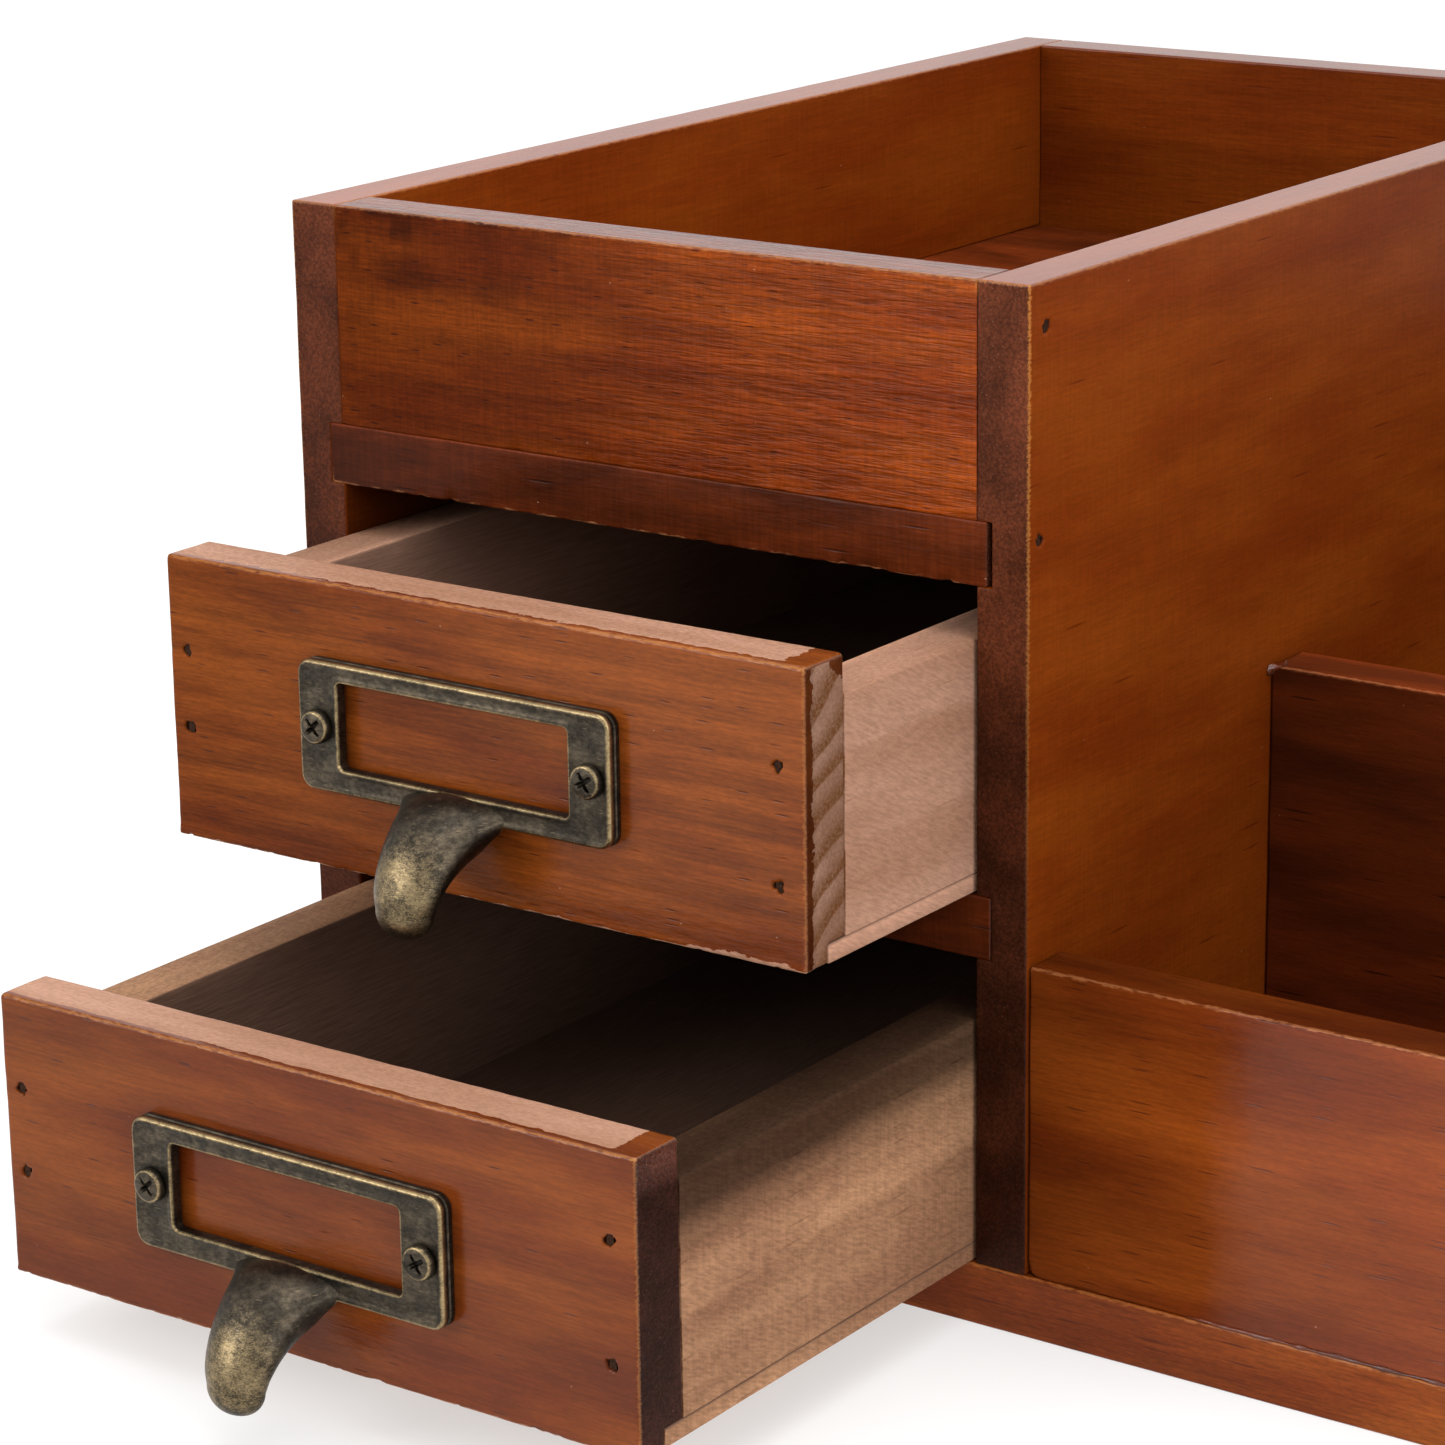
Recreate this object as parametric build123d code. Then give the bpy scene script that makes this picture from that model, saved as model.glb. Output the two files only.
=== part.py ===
from build123d import *
import os
from math import cos, radians, sin, sqrt

# Wooden desktop organiser: a two-drawer tower with an open compartment on top, and a stepped open bay
# beside it, all on one base board. Millimetres, +Z up, the front faces -Y. The origin is the centre of the
# base board's underside. The drawers stand part open, as they are at rest.

# --- Driving dimensions: case ---
CASE_LENGTH = 356.0
CASE_DEPTH = 242.0
BASE_THICKNESS = 11.0
TOWER_WIDTH = 152.0
TOWER_HEIGHT = 167.0  # above the base board
CASE_STOCK = 9.8  # thickness of the tower's sides, front and back
SHELF_STOCK = 10.8
DADO_DEPTH = 2.8
DADO_SLACK = 0.9  # gap left past the compartment shelf's right end
DRAWER_SHELF_HEIGHT = 54.2  # underside, above the base board
COMPARTMENT_SHELF_HEIGHT = 117.2

# --- Driving dimensions: open bay ---
LOW_PANEL_HEIGHT = 54.5
LOW_PANEL_THICKNESS = 10.0
LOW_PANEL_SETBACK = 0.4
MID_DIVIDER_HEIGHT = 86.7
MID_DIVIDER_FRONT = 80.0  # behind the case's front
MID_DIVIDER_THICKNESS = 11.0
REAR_PANEL_HEIGHT = 119.0
PANEL_END_GAP = 0.3  # between a bay panel's left end and the tower

# --- Driving dimensions: drawers ---
DRAWER_SIDE_GAP = 0.7
DRAWER_LIFT = 0.3
DRAWER_LENGTH = 231.0
FRONT_HEIGHT = 49.5
FRONT_THICKNESS = 11.0
FRONT_ROUNDING = 0.8
SIDE_THICKNESS = 10.5
SIDE_DROP = 6.6  # the sides' top edges are this far below the front's
BOTTOM_THICKNESS = 3.2
RABBET_DEPTH = 4.8
UPPER_OPEN = 47.6
LOWER_OPEN = 92.6

# --- Driving dimensions: label pull ---
PULL_OFFSET = -2.2  # from the drawer's middle
PLATE_WIDTH = 64.5
PLATE_HEIGHT = 22.4
PLATE_THICKNESS = 3.0
PLATE_CORNER = 2.6
PLATE_EDGE = 0.8
WINDOW_WIDTH = 47.6
WINDOW_HEIGHT = 14.8
WINDOW_RISE = 0.5
WINDOW_CORNER = 1.0
CARD_POCKET_MARGIN = 2.0
CARD_POCKET_DEPTH = 0.9
SCREW_SPACING = 56.2
SCREW_HEAD_RADIUS = 2.9
SCREW_HEAD_HEIGHT = 1.7
SCREW_HEAD_ROUNDING = 1.1
SCREW_SHANK_RADIUS = 1.1
SCREW_LENGTH = 11.0
SCREW_TIP = 2.5
SCREW_POINT_RADIUS = 0.2
SCREW_SLOT_WIDTH = 0.8
SCREW_SLOT_LENGTH = 3.0
SCREW_SLOT_DEPTH = 1.0
SCREW_HOLE_SLACK = 0.05
PLATE_HOLE_SLACK = 0.3

# --- Driving dimensions: brads ---
BRAD_WIDTH = 1.3
BRAD_THICKNESS = 1.0
BRAD_HEAD_WIDTH = 2.2
BRAD_HEAD_HEIGHT = 1.0
BRAD_SINK = 0.4
BRAD_LENGTH = 22.0
BOTTOM_BRAD_LENGTH = 14.0

# --- Places that follow ---
LEFT = -CASE_LENGTH / 2
RIGHT = CASE_LENGTH / 2
FRONT = -CASE_DEPTH / 2
BACK = CASE_DEPTH / 2
DECK = BASE_THICKNESS
TOWER_RIGHT = LEFT + TOWER_WIDTH
TOWER_TOP = DECK + TOWER_HEIGHT
INNER_LEFT = LEFT + CASE_STOCK
INNER_RIGHT = TOWER_RIGHT - CASE_STOCK
BAY_LEFT = TOWER_RIGHT + PANEL_END_GAP
BAY_RIGHT = RIGHT - CASE_STOCK
INNER_BACK = BACK - CASE_STOCK
DRAWER_LEFT = INNER_LEFT + DRAWER_SIDE_GAP
DRAWER_RIGHT = INNER_RIGHT - DRAWER_SIDE_GAP
DRAWER_MIDDLE = (DRAWER_LEFT + DRAWER_RIGHT) / 2
LOW_PANEL_FRONT = FRONT + LOW_PANEL_SETBACK
DIVIDER_FRONT = FRONT + MID_DIVIDER_FRONT


def block(x, y, z):
    """A board between two limits along each axis."""
    size = [span[1] - span[0] for span in (x, y, z)]
    middle = [(span[0] + span[1]) / 2 for span in (x, y, z)]
    return Pos(*middle) * Box(*size)


def brad(point, direction, length=BRAD_LENGTH):
    """A brad driven at a point of a face: the nail itself, and the hole that it leaves."""
    place = Plane(origin=point, z_dir=direction).location
    upright = (Align.CENTER, Align.CENTER, Align.MIN)
    head_z = BRAD_SINK + BRAD_HEAD_HEIGHT
    head = Pos(0, 0, BRAD_SINK) * Box(BRAD_HEAD_WIDTH, BRAD_WIDTH, BRAD_HEAD_HEIGHT, align=upright)
    shank = Pos(0, 0, head_z) * Box(BRAD_WIDTH, BRAD_THICKNESS, length - head_z, align=upright)
    mouth = Box(BRAD_HEAD_WIDTH, BRAD_WIDTH, head_z, align=upright)
    return place * (head + shank), place * (mouth + shank)


def brad_group(places, length=BRAD_LENGTH):
    """Brads at several (point, direction) places: the nails as one compound, and their holes."""
    pairs = [brad(point, direction, length) for point, direction in places]
    return Compound(children=[nail for nail, hole in pairs]), [hole for nail, hole in pairs]


def drill(board, holes):
    """A board with the holes that cross it."""
    for hole in holes:
        board = board - hole
    return board


# --- Case boards ---
def side_board(outer_x, inward):
    """A tower side, with a dado for each shelf in its inner face."""
    inner_x = outer_x + inward * CASE_STOCK
    board = block(sorted((outer_x, inner_x)), (FRONT, BACK), (DECK, TOWER_TOP))
    groove_x = sorted((inner_x - inward * DADO_DEPTH, inner_x + inward))
    for height in (DRAWER_SHELF_HEIGHT, COMPARTMENT_SHELF_HEIGHT):
        groove_z = (DECK + height, DECK + height + SHELF_STOCK)
        board = board - block(groove_x, (FRONT - 1, INNER_BACK), groove_z)
    return board


def shelf(height, right_slack):
    """A shelf whose ends sit in the sides' dados."""
    ends = (INNER_LEFT - DADO_DEPTH, INNER_RIGHT + DADO_DEPTH - right_slack)
    return block(ends, (FRONT, INNER_BACK), (DECK + height, DECK + height + SHELF_STOCK))


def end_board():
    """The bay's right end: its top edge steps up at the divider and at the rear panel."""
    x = (BAY_RIGHT, RIGHT)
    steps = (
        (FRONT, LOW_PANEL_HEIGHT),
        (DIVIDER_FRONT, MID_DIVIDER_HEIGHT),
        (INNER_BACK, REAR_PANEL_HEIGHT),
    )
    board = block(x, (steps[0][0], BACK), (DECK, DECK + steps[0][1]))
    for start, height in steps[1:]:
        board = board + block(x, (start, BACK), (DECK, DECK + height))
    return board


def bay_panel(front_y, thickness, height):
    """An upright panel between the tower and the right end board."""
    return block((BAY_LEFT, BAY_RIGHT), (front_y, front_y + thickness), (DECK, DECK + height))


def case_boards():
    """Every fixed board, whole, by node name."""
    top_front_z = (DECK + COMPARTMENT_SHELF_HEIGHT + SHELF_STOCK, TOWER_TOP)
    return {
        "base_board": block((LEFT, RIGHT), (FRONT, BACK), (0, DECK)),
        "left_side_board": side_board(LEFT, 1),
        "right_side_board": side_board(TOWER_RIGHT, -1),
        "top_front_board": block((INNER_LEFT, INNER_RIGHT), (FRONT, FRONT + CASE_STOCK), top_front_z),
        "tower_back_board": block((INNER_LEFT, INNER_RIGHT), (INNER_BACK, BACK), (DECK, TOWER_TOP)),
        "compartment_shelf": shelf(COMPARTMENT_SHELF_HEIGHT, DADO_SLACK),
        "drawer_shelf": shelf(DRAWER_SHELF_HEIGHT, 0),
        "low_front_panel": bay_panel(LOW_PANEL_FRONT, LOW_PANEL_THICKNESS, LOW_PANEL_HEIGHT),
        "mid_divider": bay_panel(DIVIDER_FRONT, MID_DIVIDER_THICKNESS, MID_DIVIDER_HEIGHT),
        "rear_panel": bay_panel(INNER_BACK, CASE_STOCK, REAR_PANEL_HEIGHT),
        "right_end_board": end_board(),
    }


def tower_side_brad_places():
    """Near the front edge one brad holds the top board and one the shelf; three hold the back board."""
    front_marks = ((5.2, 159.7), (3.4, 125.4))
    back_heights = (40.0, 95.0, 155.0)
    places = []
    for x, inward in ((LEFT, 1), (TOWER_RIGHT, -1)):
        for behind_front, height in front_marks:
            places.append(((x, FRONT + behind_front, DECK + height), (inward, 0, 0)))
        for height in back_heights:
            places.append(((x, BACK - CASE_STOCK / 2, DECK + height), (inward, 0, 0)))
    return places


def end_board_brad_places():
    """Two brads into the end of each bay panel, and three into the rear panel's."""
    panels = (
        (LOW_PANEL_FRONT + LOW_PANEL_THICKNESS / 2, (14.0, 40.0)),
        (DIVIDER_FRONT + MID_DIVIDER_THICKNESS / 2, (20.0, 68.0)),
        (BACK - CASE_STOCK / 2, (20.0, 60.0, 100.0)),
    )
    return [((RIGHT, y, DECK + height), (-1, 0, 0)) for y, heights in panels for height in heights]


def base_brad_places():
    """Brads up through the base board into every upright board."""
    side_ys = (FRONT + 30, 0, BACK - 30)
    bay_xs = (BAY_LEFT + 45, BAY_RIGHT - 45)
    places = [(x, y) for x in (LEFT + CASE_STOCK / 2, TOWER_RIGHT - CASE_STOCK / 2) for y in side_ys]
    places += [(RIGHT - CASE_STOCK / 2, y) for y in side_ys]
    places += [(x, LOW_PANEL_FRONT + LOW_PANEL_THICKNESS / 2) for x in bay_xs]
    places += [(x, DIVIDER_FRONT + MID_DIVIDER_THICKNESS / 2) for x in bay_xs]
    places += [(x, BACK - CASE_STOCK / 2) for x in (LEFT + 76, *bay_xs)]
    return [((x, y, 0), (0, 0, 1)) for x, y in places]


def case_nodes():
    """The fixed boards with their brad holes, and the brads."""
    boards = case_boards()
    side_brads, side_holes = brad_group(tower_side_brad_places())
    end_brads, end_holes = brad_group(end_board_brad_places())
    base_brads, base_holes = brad_group(base_brad_places(), BASE_THICKNESS + 14)
    drilled = (
        (side_holes, ("left_side_board", "right_side_board", "top_front_board", "tower_back_board")),
        (side_holes, ("compartment_shelf",)),
        (end_holes, ("right_end_board", "low_front_panel", "mid_divider", "rear_panel")),
        (base_holes, ("base_board", "left_side_board", "right_side_board", "tower_back_board")),
        (base_holes, ("right_end_board", "low_front_panel", "mid_divider", "rear_panel")),
    )
    for holes, names in drilled:
        for name in names:
            boards[name] = drill(boards[name], holes)
    brads = {"tower_side_brads": side_brads, "end_board_brads": end_brads, "base_brads": base_brads}
    return {**boards, **brads}


# --- Drawers ---
def screw():
    """A pan-head screw along +Z from the head's underside, its cross recess in the head."""
    below = (Align.CENTER, Align.CENTER, Align.MAX)
    above = (Align.CENTER, Align.CENTER, Align.MIN)
    head = Cylinder(SCREW_HEAD_RADIUS, SCREW_HEAD_HEIGHT, align=below)
    head = fillet(head.edges().sort_by(Axis.Z)[0], SCREW_HEAD_ROUNDING)
    shank = Cylinder(SCREW_SHANK_RADIUS, SCREW_LENGTH - SCREW_TIP, align=above)
    tip_z = SCREW_LENGTH - SCREW_TIP
    tip = Pos(0, 0, tip_z) * Cone(SCREW_SHANK_RADIUS, SCREW_POINT_RADIUS, SCREW_TIP, align=above)
    slot_z = -SCREW_HEAD_HEIGHT + SCREW_SLOT_DEPTH / 2
    slot = Pos(0, 0, slot_z) * Box(SCREW_SLOT_LENGTH, SCREW_SLOT_WIDTH, SCREW_SLOT_DEPTH)
    return head + shank + tip - Rot(0, 0, 45) * slot - Rot(0, 0, -45) * slot


def hook_section(out, drop, lean, width, thickness):
    """An oval section of the finger hook: how far out, how far down, and its lean from upright."""
    tangent = (0, -cos(radians(lean)), -sin(radians(lean)))
    plane = Plane(origin=(0, -out, -drop), x_dir=(1, 0, 0), z_dir=tangent)
    return plane * Ellipse(width / 2, thickness / 2)


def hook():
    """The finger hook: out of the plate's lower border, bending down to a rounded tip."""
    arm = [
        (1.6, 9.6, 5, 23.0, 5.2),
        (5.5, 11.2, 22, 18.6, 7.6),
        (9.5, 13.8, 42, 15.9, 8.7),
        (13.0, 17.4, 60, 14.0, 8.5),
        (15.0, 21.0, 76, 12.5, 7.9),
    ]
    tip_start_out, tip_start_drop, tip_length = 15.7, 23.6, 4.5
    tip_lean, tip_width, tip_thickness = 84, 11.1, 7.2
    cap = []
    for along in (0.0, 0.5, 0.8, 0.96):
        narrowing = sqrt(1 - along**2)
        step = along * tip_length
        out = tip_start_out + step * cos(radians(tip_lean))
        drop = tip_start_drop + step * sin(radians(tip_lean))
        cap.append((out, drop, tip_lean, tip_width * narrowing, tip_thickness * narrowing))
    return loft([hook_section(*section) for section in arm + cap])


def label_pull():
    """Label frame and finger hook, cast in one piece. Its back is at Y = 0, its middle at the origin."""
    outer = RectangleRounded(PLATE_WIDTH, PLATE_HEIGHT, PLATE_CORNER)
    plate = extrude(Plane.XZ * outer, PLATE_THICKNESS)
    plate = fillet(plate.faces().sort_by(Axis.Y)[0].edges(), PLATE_EDGE)
    window = Pos(0, WINDOW_RISE) * RectangleRounded(WINDOW_WIDTH, WINDOW_HEIGHT, WINDOW_CORNER)
    plate = plate - extrude(Plane.XZ * window, PLATE_THICKNESS)
    pocket_size = (WINDOW_WIDTH + CARD_POCKET_MARGIN, WINDOW_HEIGHT + CARD_POCKET_MARGIN)
    pocket = Pos(0, WINDOW_RISE) * Rectangle(*pocket_size)
    plate = plate - extrude(Plane.XZ * pocket, CARD_POCKET_DEPTH)
    screw_hole = Cylinder(SCREW_SHANK_RADIUS + PLATE_HOLE_SLACK, 4 * PLATE_THICKNESS, rotation=(90, 0, 0))
    for side in (-1, 1):
        plate = plate - Pos(side * SCREW_SPACING / 2, 0, 0) * screw_hole
    in_front = block((-40, 40), (-40, -0.5), (-40, 40))
    return plate + (hook() & in_front)


def drawer_front(front_y, low_z):
    """The front panel: rounded along its face and top edges, rabbeted along its lower back edge."""
    panel = block(
        (DRAWER_LEFT, DRAWER_RIGHT), (front_y, front_y + FRONT_THICKNESS), (low_z, low_z + FRONT_HEIGHT)
    )
    face_edges = panel.faces().sort_by(Axis.Y)[0].edges()
    top_edges = panel.faces().sort_by(Axis.Z)[-1].edges()
    rounded = list(face_edges) + [edge for edge in top_edges if edge not in face_edges]
    panel = fillet(rounded, FRONT_ROUNDING)
    back_y = front_y + FRONT_THICKNESS
    rabbet_y = (back_y - RABBET_DEPTH, back_y + 1)
    rabbet = block((DRAWER_LEFT - 1, DRAWER_RIGHT + 1), rabbet_y, (low_z - 1, low_z + BOTTOM_THICKNESS))
    return panel - rabbet


def drawer_boards(front_y, low_z):
    """The drawer's five boards, whole, by the last part of their node names."""
    back_y = front_y + DRAWER_LENGTH
    box_y = (front_y + FRONT_THICKNESS, back_y)
    wall_z = (low_z + BOTTOM_THICKNESS, low_z + FRONT_HEIGHT - SIDE_DROP)
    inside_x = (DRAWER_LEFT + SIDE_THICKNESS, DRAWER_RIGHT - SIDE_THICKNESS)
    bottom_y = (front_y + FRONT_THICKNESS - RABBET_DEPTH, back_y)
    return {
        "front": drawer_front(front_y, low_z),
        "left_side": block((DRAWER_LEFT, inside_x[0]), box_y, wall_z),
        "right_side": block((inside_x[1], DRAWER_RIGHT), box_y, wall_z),
        "back": block(inside_x, (back_y - SIDE_THICKNESS, back_y), wall_z),
        "bottom": block((DRAWER_LEFT, DRAWER_RIGHT), bottom_y, (low_z, low_z + BOTTOM_THICKNESS)),
    }


def front_brad_places(front_y, low_z, left_heights, right_heights):
    """Brads through the front into the sides' ends."""
    left_x = DRAWER_LEFT + 3.8
    right_x = DRAWER_RIGHT - SIDE_THICKNESS / 2
    places = [((left_x, front_y, low_z + height), (0, 1, 0)) for height in left_heights]
    return places + [((right_x, front_y, low_z + height), (0, 1, 0)) for height in right_heights]


def back_brad_places(front_y, low_z):
    """Brads through the sides into the back board's ends."""
    y = front_y + DRAWER_LENGTH - SIDE_THICKNESS / 2
    sides = ((DRAWER_LEFT, 1), (DRAWER_RIGHT, -1))
    return [((x, y, low_z + height), (inward, 0, 0)) for x, inward in sides for height in (14, 32)]


def bottom_brad_places(front_y, low_z):
    """Brads up through the bottom panel into the sides and the back."""
    xs = (DRAWER_LEFT + SIDE_THICKNESS / 2, DRAWER_RIGHT - SIDE_THICKNESS / 2)
    places = [(x, front_y + along) for x in xs for along in (30, 115, 200)]
    places.append((DRAWER_MIDDLE, front_y + DRAWER_LENGTH - SIDE_THICKNESS / 2))
    return [((x, y, low_z), (0, 0, 1)) for x, y in places]


def drawer_nodes(name, opened, low_z, pull_height, left_heights, right_heights):
    """A whole drawer, by node name, pulled out by the given distance."""
    front_y = FRONT - opened
    boards = drawer_boards(front_y, low_z)
    front_brads, front_holes = brad_group(front_brad_places(front_y, low_z, left_heights, right_heights))
    back_brads, back_holes = brad_group(back_brad_places(front_y, low_z))
    bottom_brads, bottom_holes = brad_group(bottom_brad_places(front_y, low_z), BOTTOM_BRAD_LENGTH)

    pull_place = Pos(DRAWER_MIDDLE + PULL_OFFSET, front_y, low_z + pull_height)
    screws = []
    pilots = []
    pilot_length = SCREW_LENGTH - PLATE_THICKNESS
    pilot = Pos(0, pilot_length / 2, 0) * Cylinder(
        SCREW_SHANK_RADIUS + SCREW_HOLE_SLACK, pilot_length + 0.2, rotation=(90, 0, 0)
    )
    for side in (-1, 1):
        seat = pull_place * Pos(side * SCREW_SPACING / 2, -PLATE_THICKNESS, 0)
        screws.append(seat * Rot(-90, 0, 0) * screw())
        pilots.append(pull_place * Pos(side * SCREW_SPACING / 2, 0, 0) * pilot)

    boards["front"] = drill(boards["front"], front_holes + pilots)
    boards["left_side"] = drill(boards["left_side"], front_holes + back_holes + bottom_holes)
    boards["right_side"] = drill(boards["right_side"], front_holes + back_holes + bottom_holes)
    boards["back"] = drill(boards["back"], back_holes + bottom_holes)
    boards["bottom"] = drill(boards["bottom"], bottom_holes)
    fittings = {
        "label_pull": pull_place * label_pull(),
        "label_screws": Compound(children=screws),
        "front_brads": front_brads,
        "back_brads": back_brads,
        "bottom_brads": bottom_brads,
    }
    return {f"{name}_{piece}": shape for piece, shape in {**boards, **fittings}.items()}


def organiser():
    """Every node of the organiser."""
    lower_z = DECK + DRAWER_LIFT
    upper_z = DECK + DRAWER_SHELF_HEIGHT + SHELF_STOCK + DRAWER_LIFT
    upper = drawer_nodes("upper_drawer", UPPER_OPEN, upper_z, 25.6, (19.6, 33.0), (13.4, 33.0))
    lower = drawer_nodes("lower_drawer", LOWER_OPEN, lower_z, 24.6, (18.8, 33.4), (14.8, 35.2))
    return {**case_nodes(), **upper, **lower}


os.makedirs("parts", exist_ok=True)
for node, shape in organiser().items():
    export_step(shape, f"parts/{node}.step")
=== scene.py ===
import math

import bmesh
import bpy
import numpy as np
from mathutils import Matrix, Vector, noise


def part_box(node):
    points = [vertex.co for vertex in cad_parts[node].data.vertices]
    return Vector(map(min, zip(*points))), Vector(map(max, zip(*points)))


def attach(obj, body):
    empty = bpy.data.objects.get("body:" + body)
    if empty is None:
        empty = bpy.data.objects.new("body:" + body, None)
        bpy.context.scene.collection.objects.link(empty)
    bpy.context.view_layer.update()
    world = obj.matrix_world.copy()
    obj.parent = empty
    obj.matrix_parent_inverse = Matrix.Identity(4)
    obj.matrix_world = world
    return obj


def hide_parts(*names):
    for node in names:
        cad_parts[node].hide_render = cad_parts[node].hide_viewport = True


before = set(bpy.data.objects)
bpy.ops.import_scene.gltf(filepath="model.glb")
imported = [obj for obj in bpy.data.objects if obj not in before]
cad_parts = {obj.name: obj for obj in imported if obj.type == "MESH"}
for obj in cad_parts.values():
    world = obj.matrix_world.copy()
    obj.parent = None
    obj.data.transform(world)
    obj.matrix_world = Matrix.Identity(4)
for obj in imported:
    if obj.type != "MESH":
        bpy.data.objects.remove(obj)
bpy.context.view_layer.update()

# The finished look of the desk organiser. Mesh code works in millimetres in the frame's axes, and each
# mesh goes into Blender in metres.
MM = 0.001


# --- Places read from the frame, in millimetres ---
def box_of(node):
    """A node's lowest and highest corners."""
    low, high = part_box(node)
    return np.array(low) / MM, np.array(high) / MM


# A brad's head is flat to within the first. Two heads are further apart than the second.
HEAD_FLATNESS = 0.05
HEAD_SPACING = 3.0


def head_centres(node, axis, side):
    """The middles of a brad group's heads that face one way along an axis."""
    places = np.array([vertex.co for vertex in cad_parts[node].data.vertices]) / MM
    outermost = side * (side * places[:, axis]).max()
    heads = places[np.abs(places[:, axis] - outermost) < HEAD_FLATNESS]
    centres = []
    while len(heads):
        near = np.linalg.norm(heads - heads[0], axis=1) < HEAD_SPACING
        group = heads[near]
        centres.append((group.min(0) + group.max(0)) / 2)
        heads = heads[~near]
    return centres


def brad_marks(group, axis, side, surface):
    """Where a board's surface lies over the brads of a group that face one way along an axis."""
    marks = []
    for place in head_centres(group, axis, side):
        place[axis] = surface
        marks.append((place, axis))
    return marks


def moved_to(corner, **values):
    """A copy of a corner with some of its coordinates set anew."""
    copy = np.array(corner, float)
    for letter, value in values.items():
        copy["xyz".index(letter)] = value
    return copy


# --- Node trees ---
class Shader:
    """A material whose nodes are added by short calls that hand back sockets."""

    def __init__(self, name):
        self.material = bpy.data.materials.new(name)
        self.material.use_nodes = True
        self.nodes = self.material.node_tree.nodes
        self.links = self.material.node_tree.links
        self.nodes.clear()

    def add(self, kind, inputs, output=0, **settings):
        """Adds a node and gives one output, or the node. Inputs are values or sockets."""
        node = self.nodes.new("ShaderNode" + kind)
        for key, value in settings.items():
            setattr(node, key, value)
        for key, value in inputs.items():
            if isinstance(value, bpy.types.NodeSocket):
                self.links.new(value, node.inputs[key])
            else:
                node.inputs[key].default_value = value
        return node if output is None else node.outputs[output]

    def math(self, operation, *values):
        return self.add("Math", dict(enumerate(values)), operation=operation)

    def times(self, a, b):
        return self.math("MULTIPLY", a, b)

    def times_plus(self, a, b, c):
        """a times b, plus c."""
        return self.math("MULTIPLY_ADD", a, b, c)

    def centred(self, value):
        """Noise from 0 to 1, moved to run from -0.5 to 0.5."""
        return self.math("SUBTRACT", value, 0.5)

    def vector(self, operation, *values, output=0):
        return self.add("VectorMath", dict(enumerate(values)), output, operation=operation)

    def clamp(self, value, low, high, to_low=0.0, to_high=1.0):
        """Carries a value from one range to another, with soft ends."""
        inputs = {0: value, 1: low, 2: high, 3: to_low, 4: to_high}
        return self.add("MapRange", inputs, interpolation_type="SMOOTHSTEP")

    def blend(self, factor, a, b):
        """Mixes two colours."""
        colours = {0: factor, 6: a, 7: b}
        return self.add("Mix", colours, 2, data_type="RGBA")

    def scaled(self, place, factors):
        """Coordinates, each component times its own factor."""
        return self.vector("MULTIPLY", place, factors)

    def brightened(self, colour, factor):
        """A colour times one factor."""
        if isinstance(colour, tuple):
            colour = colour[:3]
        return self.add("VectorMath", {"Vector": colour, "Scale": factor}, operation="SCALE")

    def attribute(self, name):
        return self.add("Attribute", {}, 2, attribute_name=name)

    def millimetres(self):
        """The object's own coordinates, in millimetres."""
        return self.scaled(self.add("TexCoord", {}, "Object"), (1000, 1000, 1000))

    def noise(self, place, factors, detail=2.0, roughness=0.5, output=0):
        """Noise over coordinates times the factors, so larger factors give finer noise."""
        inputs = {"Vector": self.scaled(place, factors), "Scale": 1.0, "Detail": detail}
        return self.add("TexNoise", {**inputs, "Roughness": roughness}, output)

    def finish(self, inputs):
        """The surface, and the finished material."""
        self.add("OutputMaterial", {"Surface": self.add("BsdfPrincipled", inputs)}, None)
        return self.material


# --- Wood ---
class Tone:
    """The colours of one stain, or of bare wood, as linear light."""

    def __init__(self, **colours):
        for name, colour in colours.items():
            setattr(self, name, (*colour, 1))


AMBER = Tone(
    light=(0.205, 0.038, 0.0028),
    dark=(0.118, 0.0165, 0.0014),
    streak=(0.045, 0.0060, 0.0010),
    end=(0.060, 0.014, 0.0055),
    worn=(0.36, 0.14, 0.035),
)
HONEY = Tone(
    light=(0.170, 0.033, 0.0027),
    dark=(0.130, 0.0205, 0.0018),
    streak=(0.080, 0.0110, 0.0010),
    end=(0.074, 0.0180, 0.0068),
    worn=(0.36, 0.14, 0.03),
)
CHERRY = Tone(
    light=(0.200, 0.047, 0.0058),
    dark=(0.112, 0.0200, 0.0028),
    streak=(0.050, 0.0095, 0.0022),
    end=(0.045, 0.0140, 0.0085),
    worn=(0.38, 0.15, 0.04),
)
RUSSET = Tone(
    light=(0.205, 0.042, 0.0045),
    dark=(0.120, 0.0195, 0.0024),
    streak=(0.050, 0.0090, 0.0020),
    end=(0.045, 0.0140, 0.0085),
    worn=(0.46, 0.17, 0.06),
)
UMBER = Tone(
    light=(0.098, 0.0165, 0.0032),
    dark=(0.040, 0.0075, 0.0018),
    streak=(0.018, 0.0040, 0.0014),
    end=(0.040, 0.0110, 0.0050),
    worn=(0.28, 0.11, 0.045),
)
PINKISH = Tone(
    light=(0.40, 0.222, 0.150),
    dark=(0.315, 0.163, 0.103),
    streak=(0.18, 0.066, 0.022),
)
TAWNY = Tone(
    light=(0.385, 0.207, 0.113),
    dark=(0.265, 0.132, 0.074),
    streak=(0.085, 0.033, 0.017),
)
# Painted shade for the drawers' inner faces
PAINTED_INSIDE_SHADE = (0.130, 0.072, 0.050, 1)
SOOT = (0.010, 0.0035, 0.0016, 1)
SHEEN_FLECK = (0.36, 0.19, 0.12, 1)

# The angle of the saw marks on bare wood
SAW_ANGLE = -0.45
GRAIN_ORDER = {"x": (0, 1, 2), "y": (1, 0, 2)}
# How far each seed moves a board's figure, along the grain and across it, in millimetres
SEED_SHIFT = (211.0, 37.0, 53.0)


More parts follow.
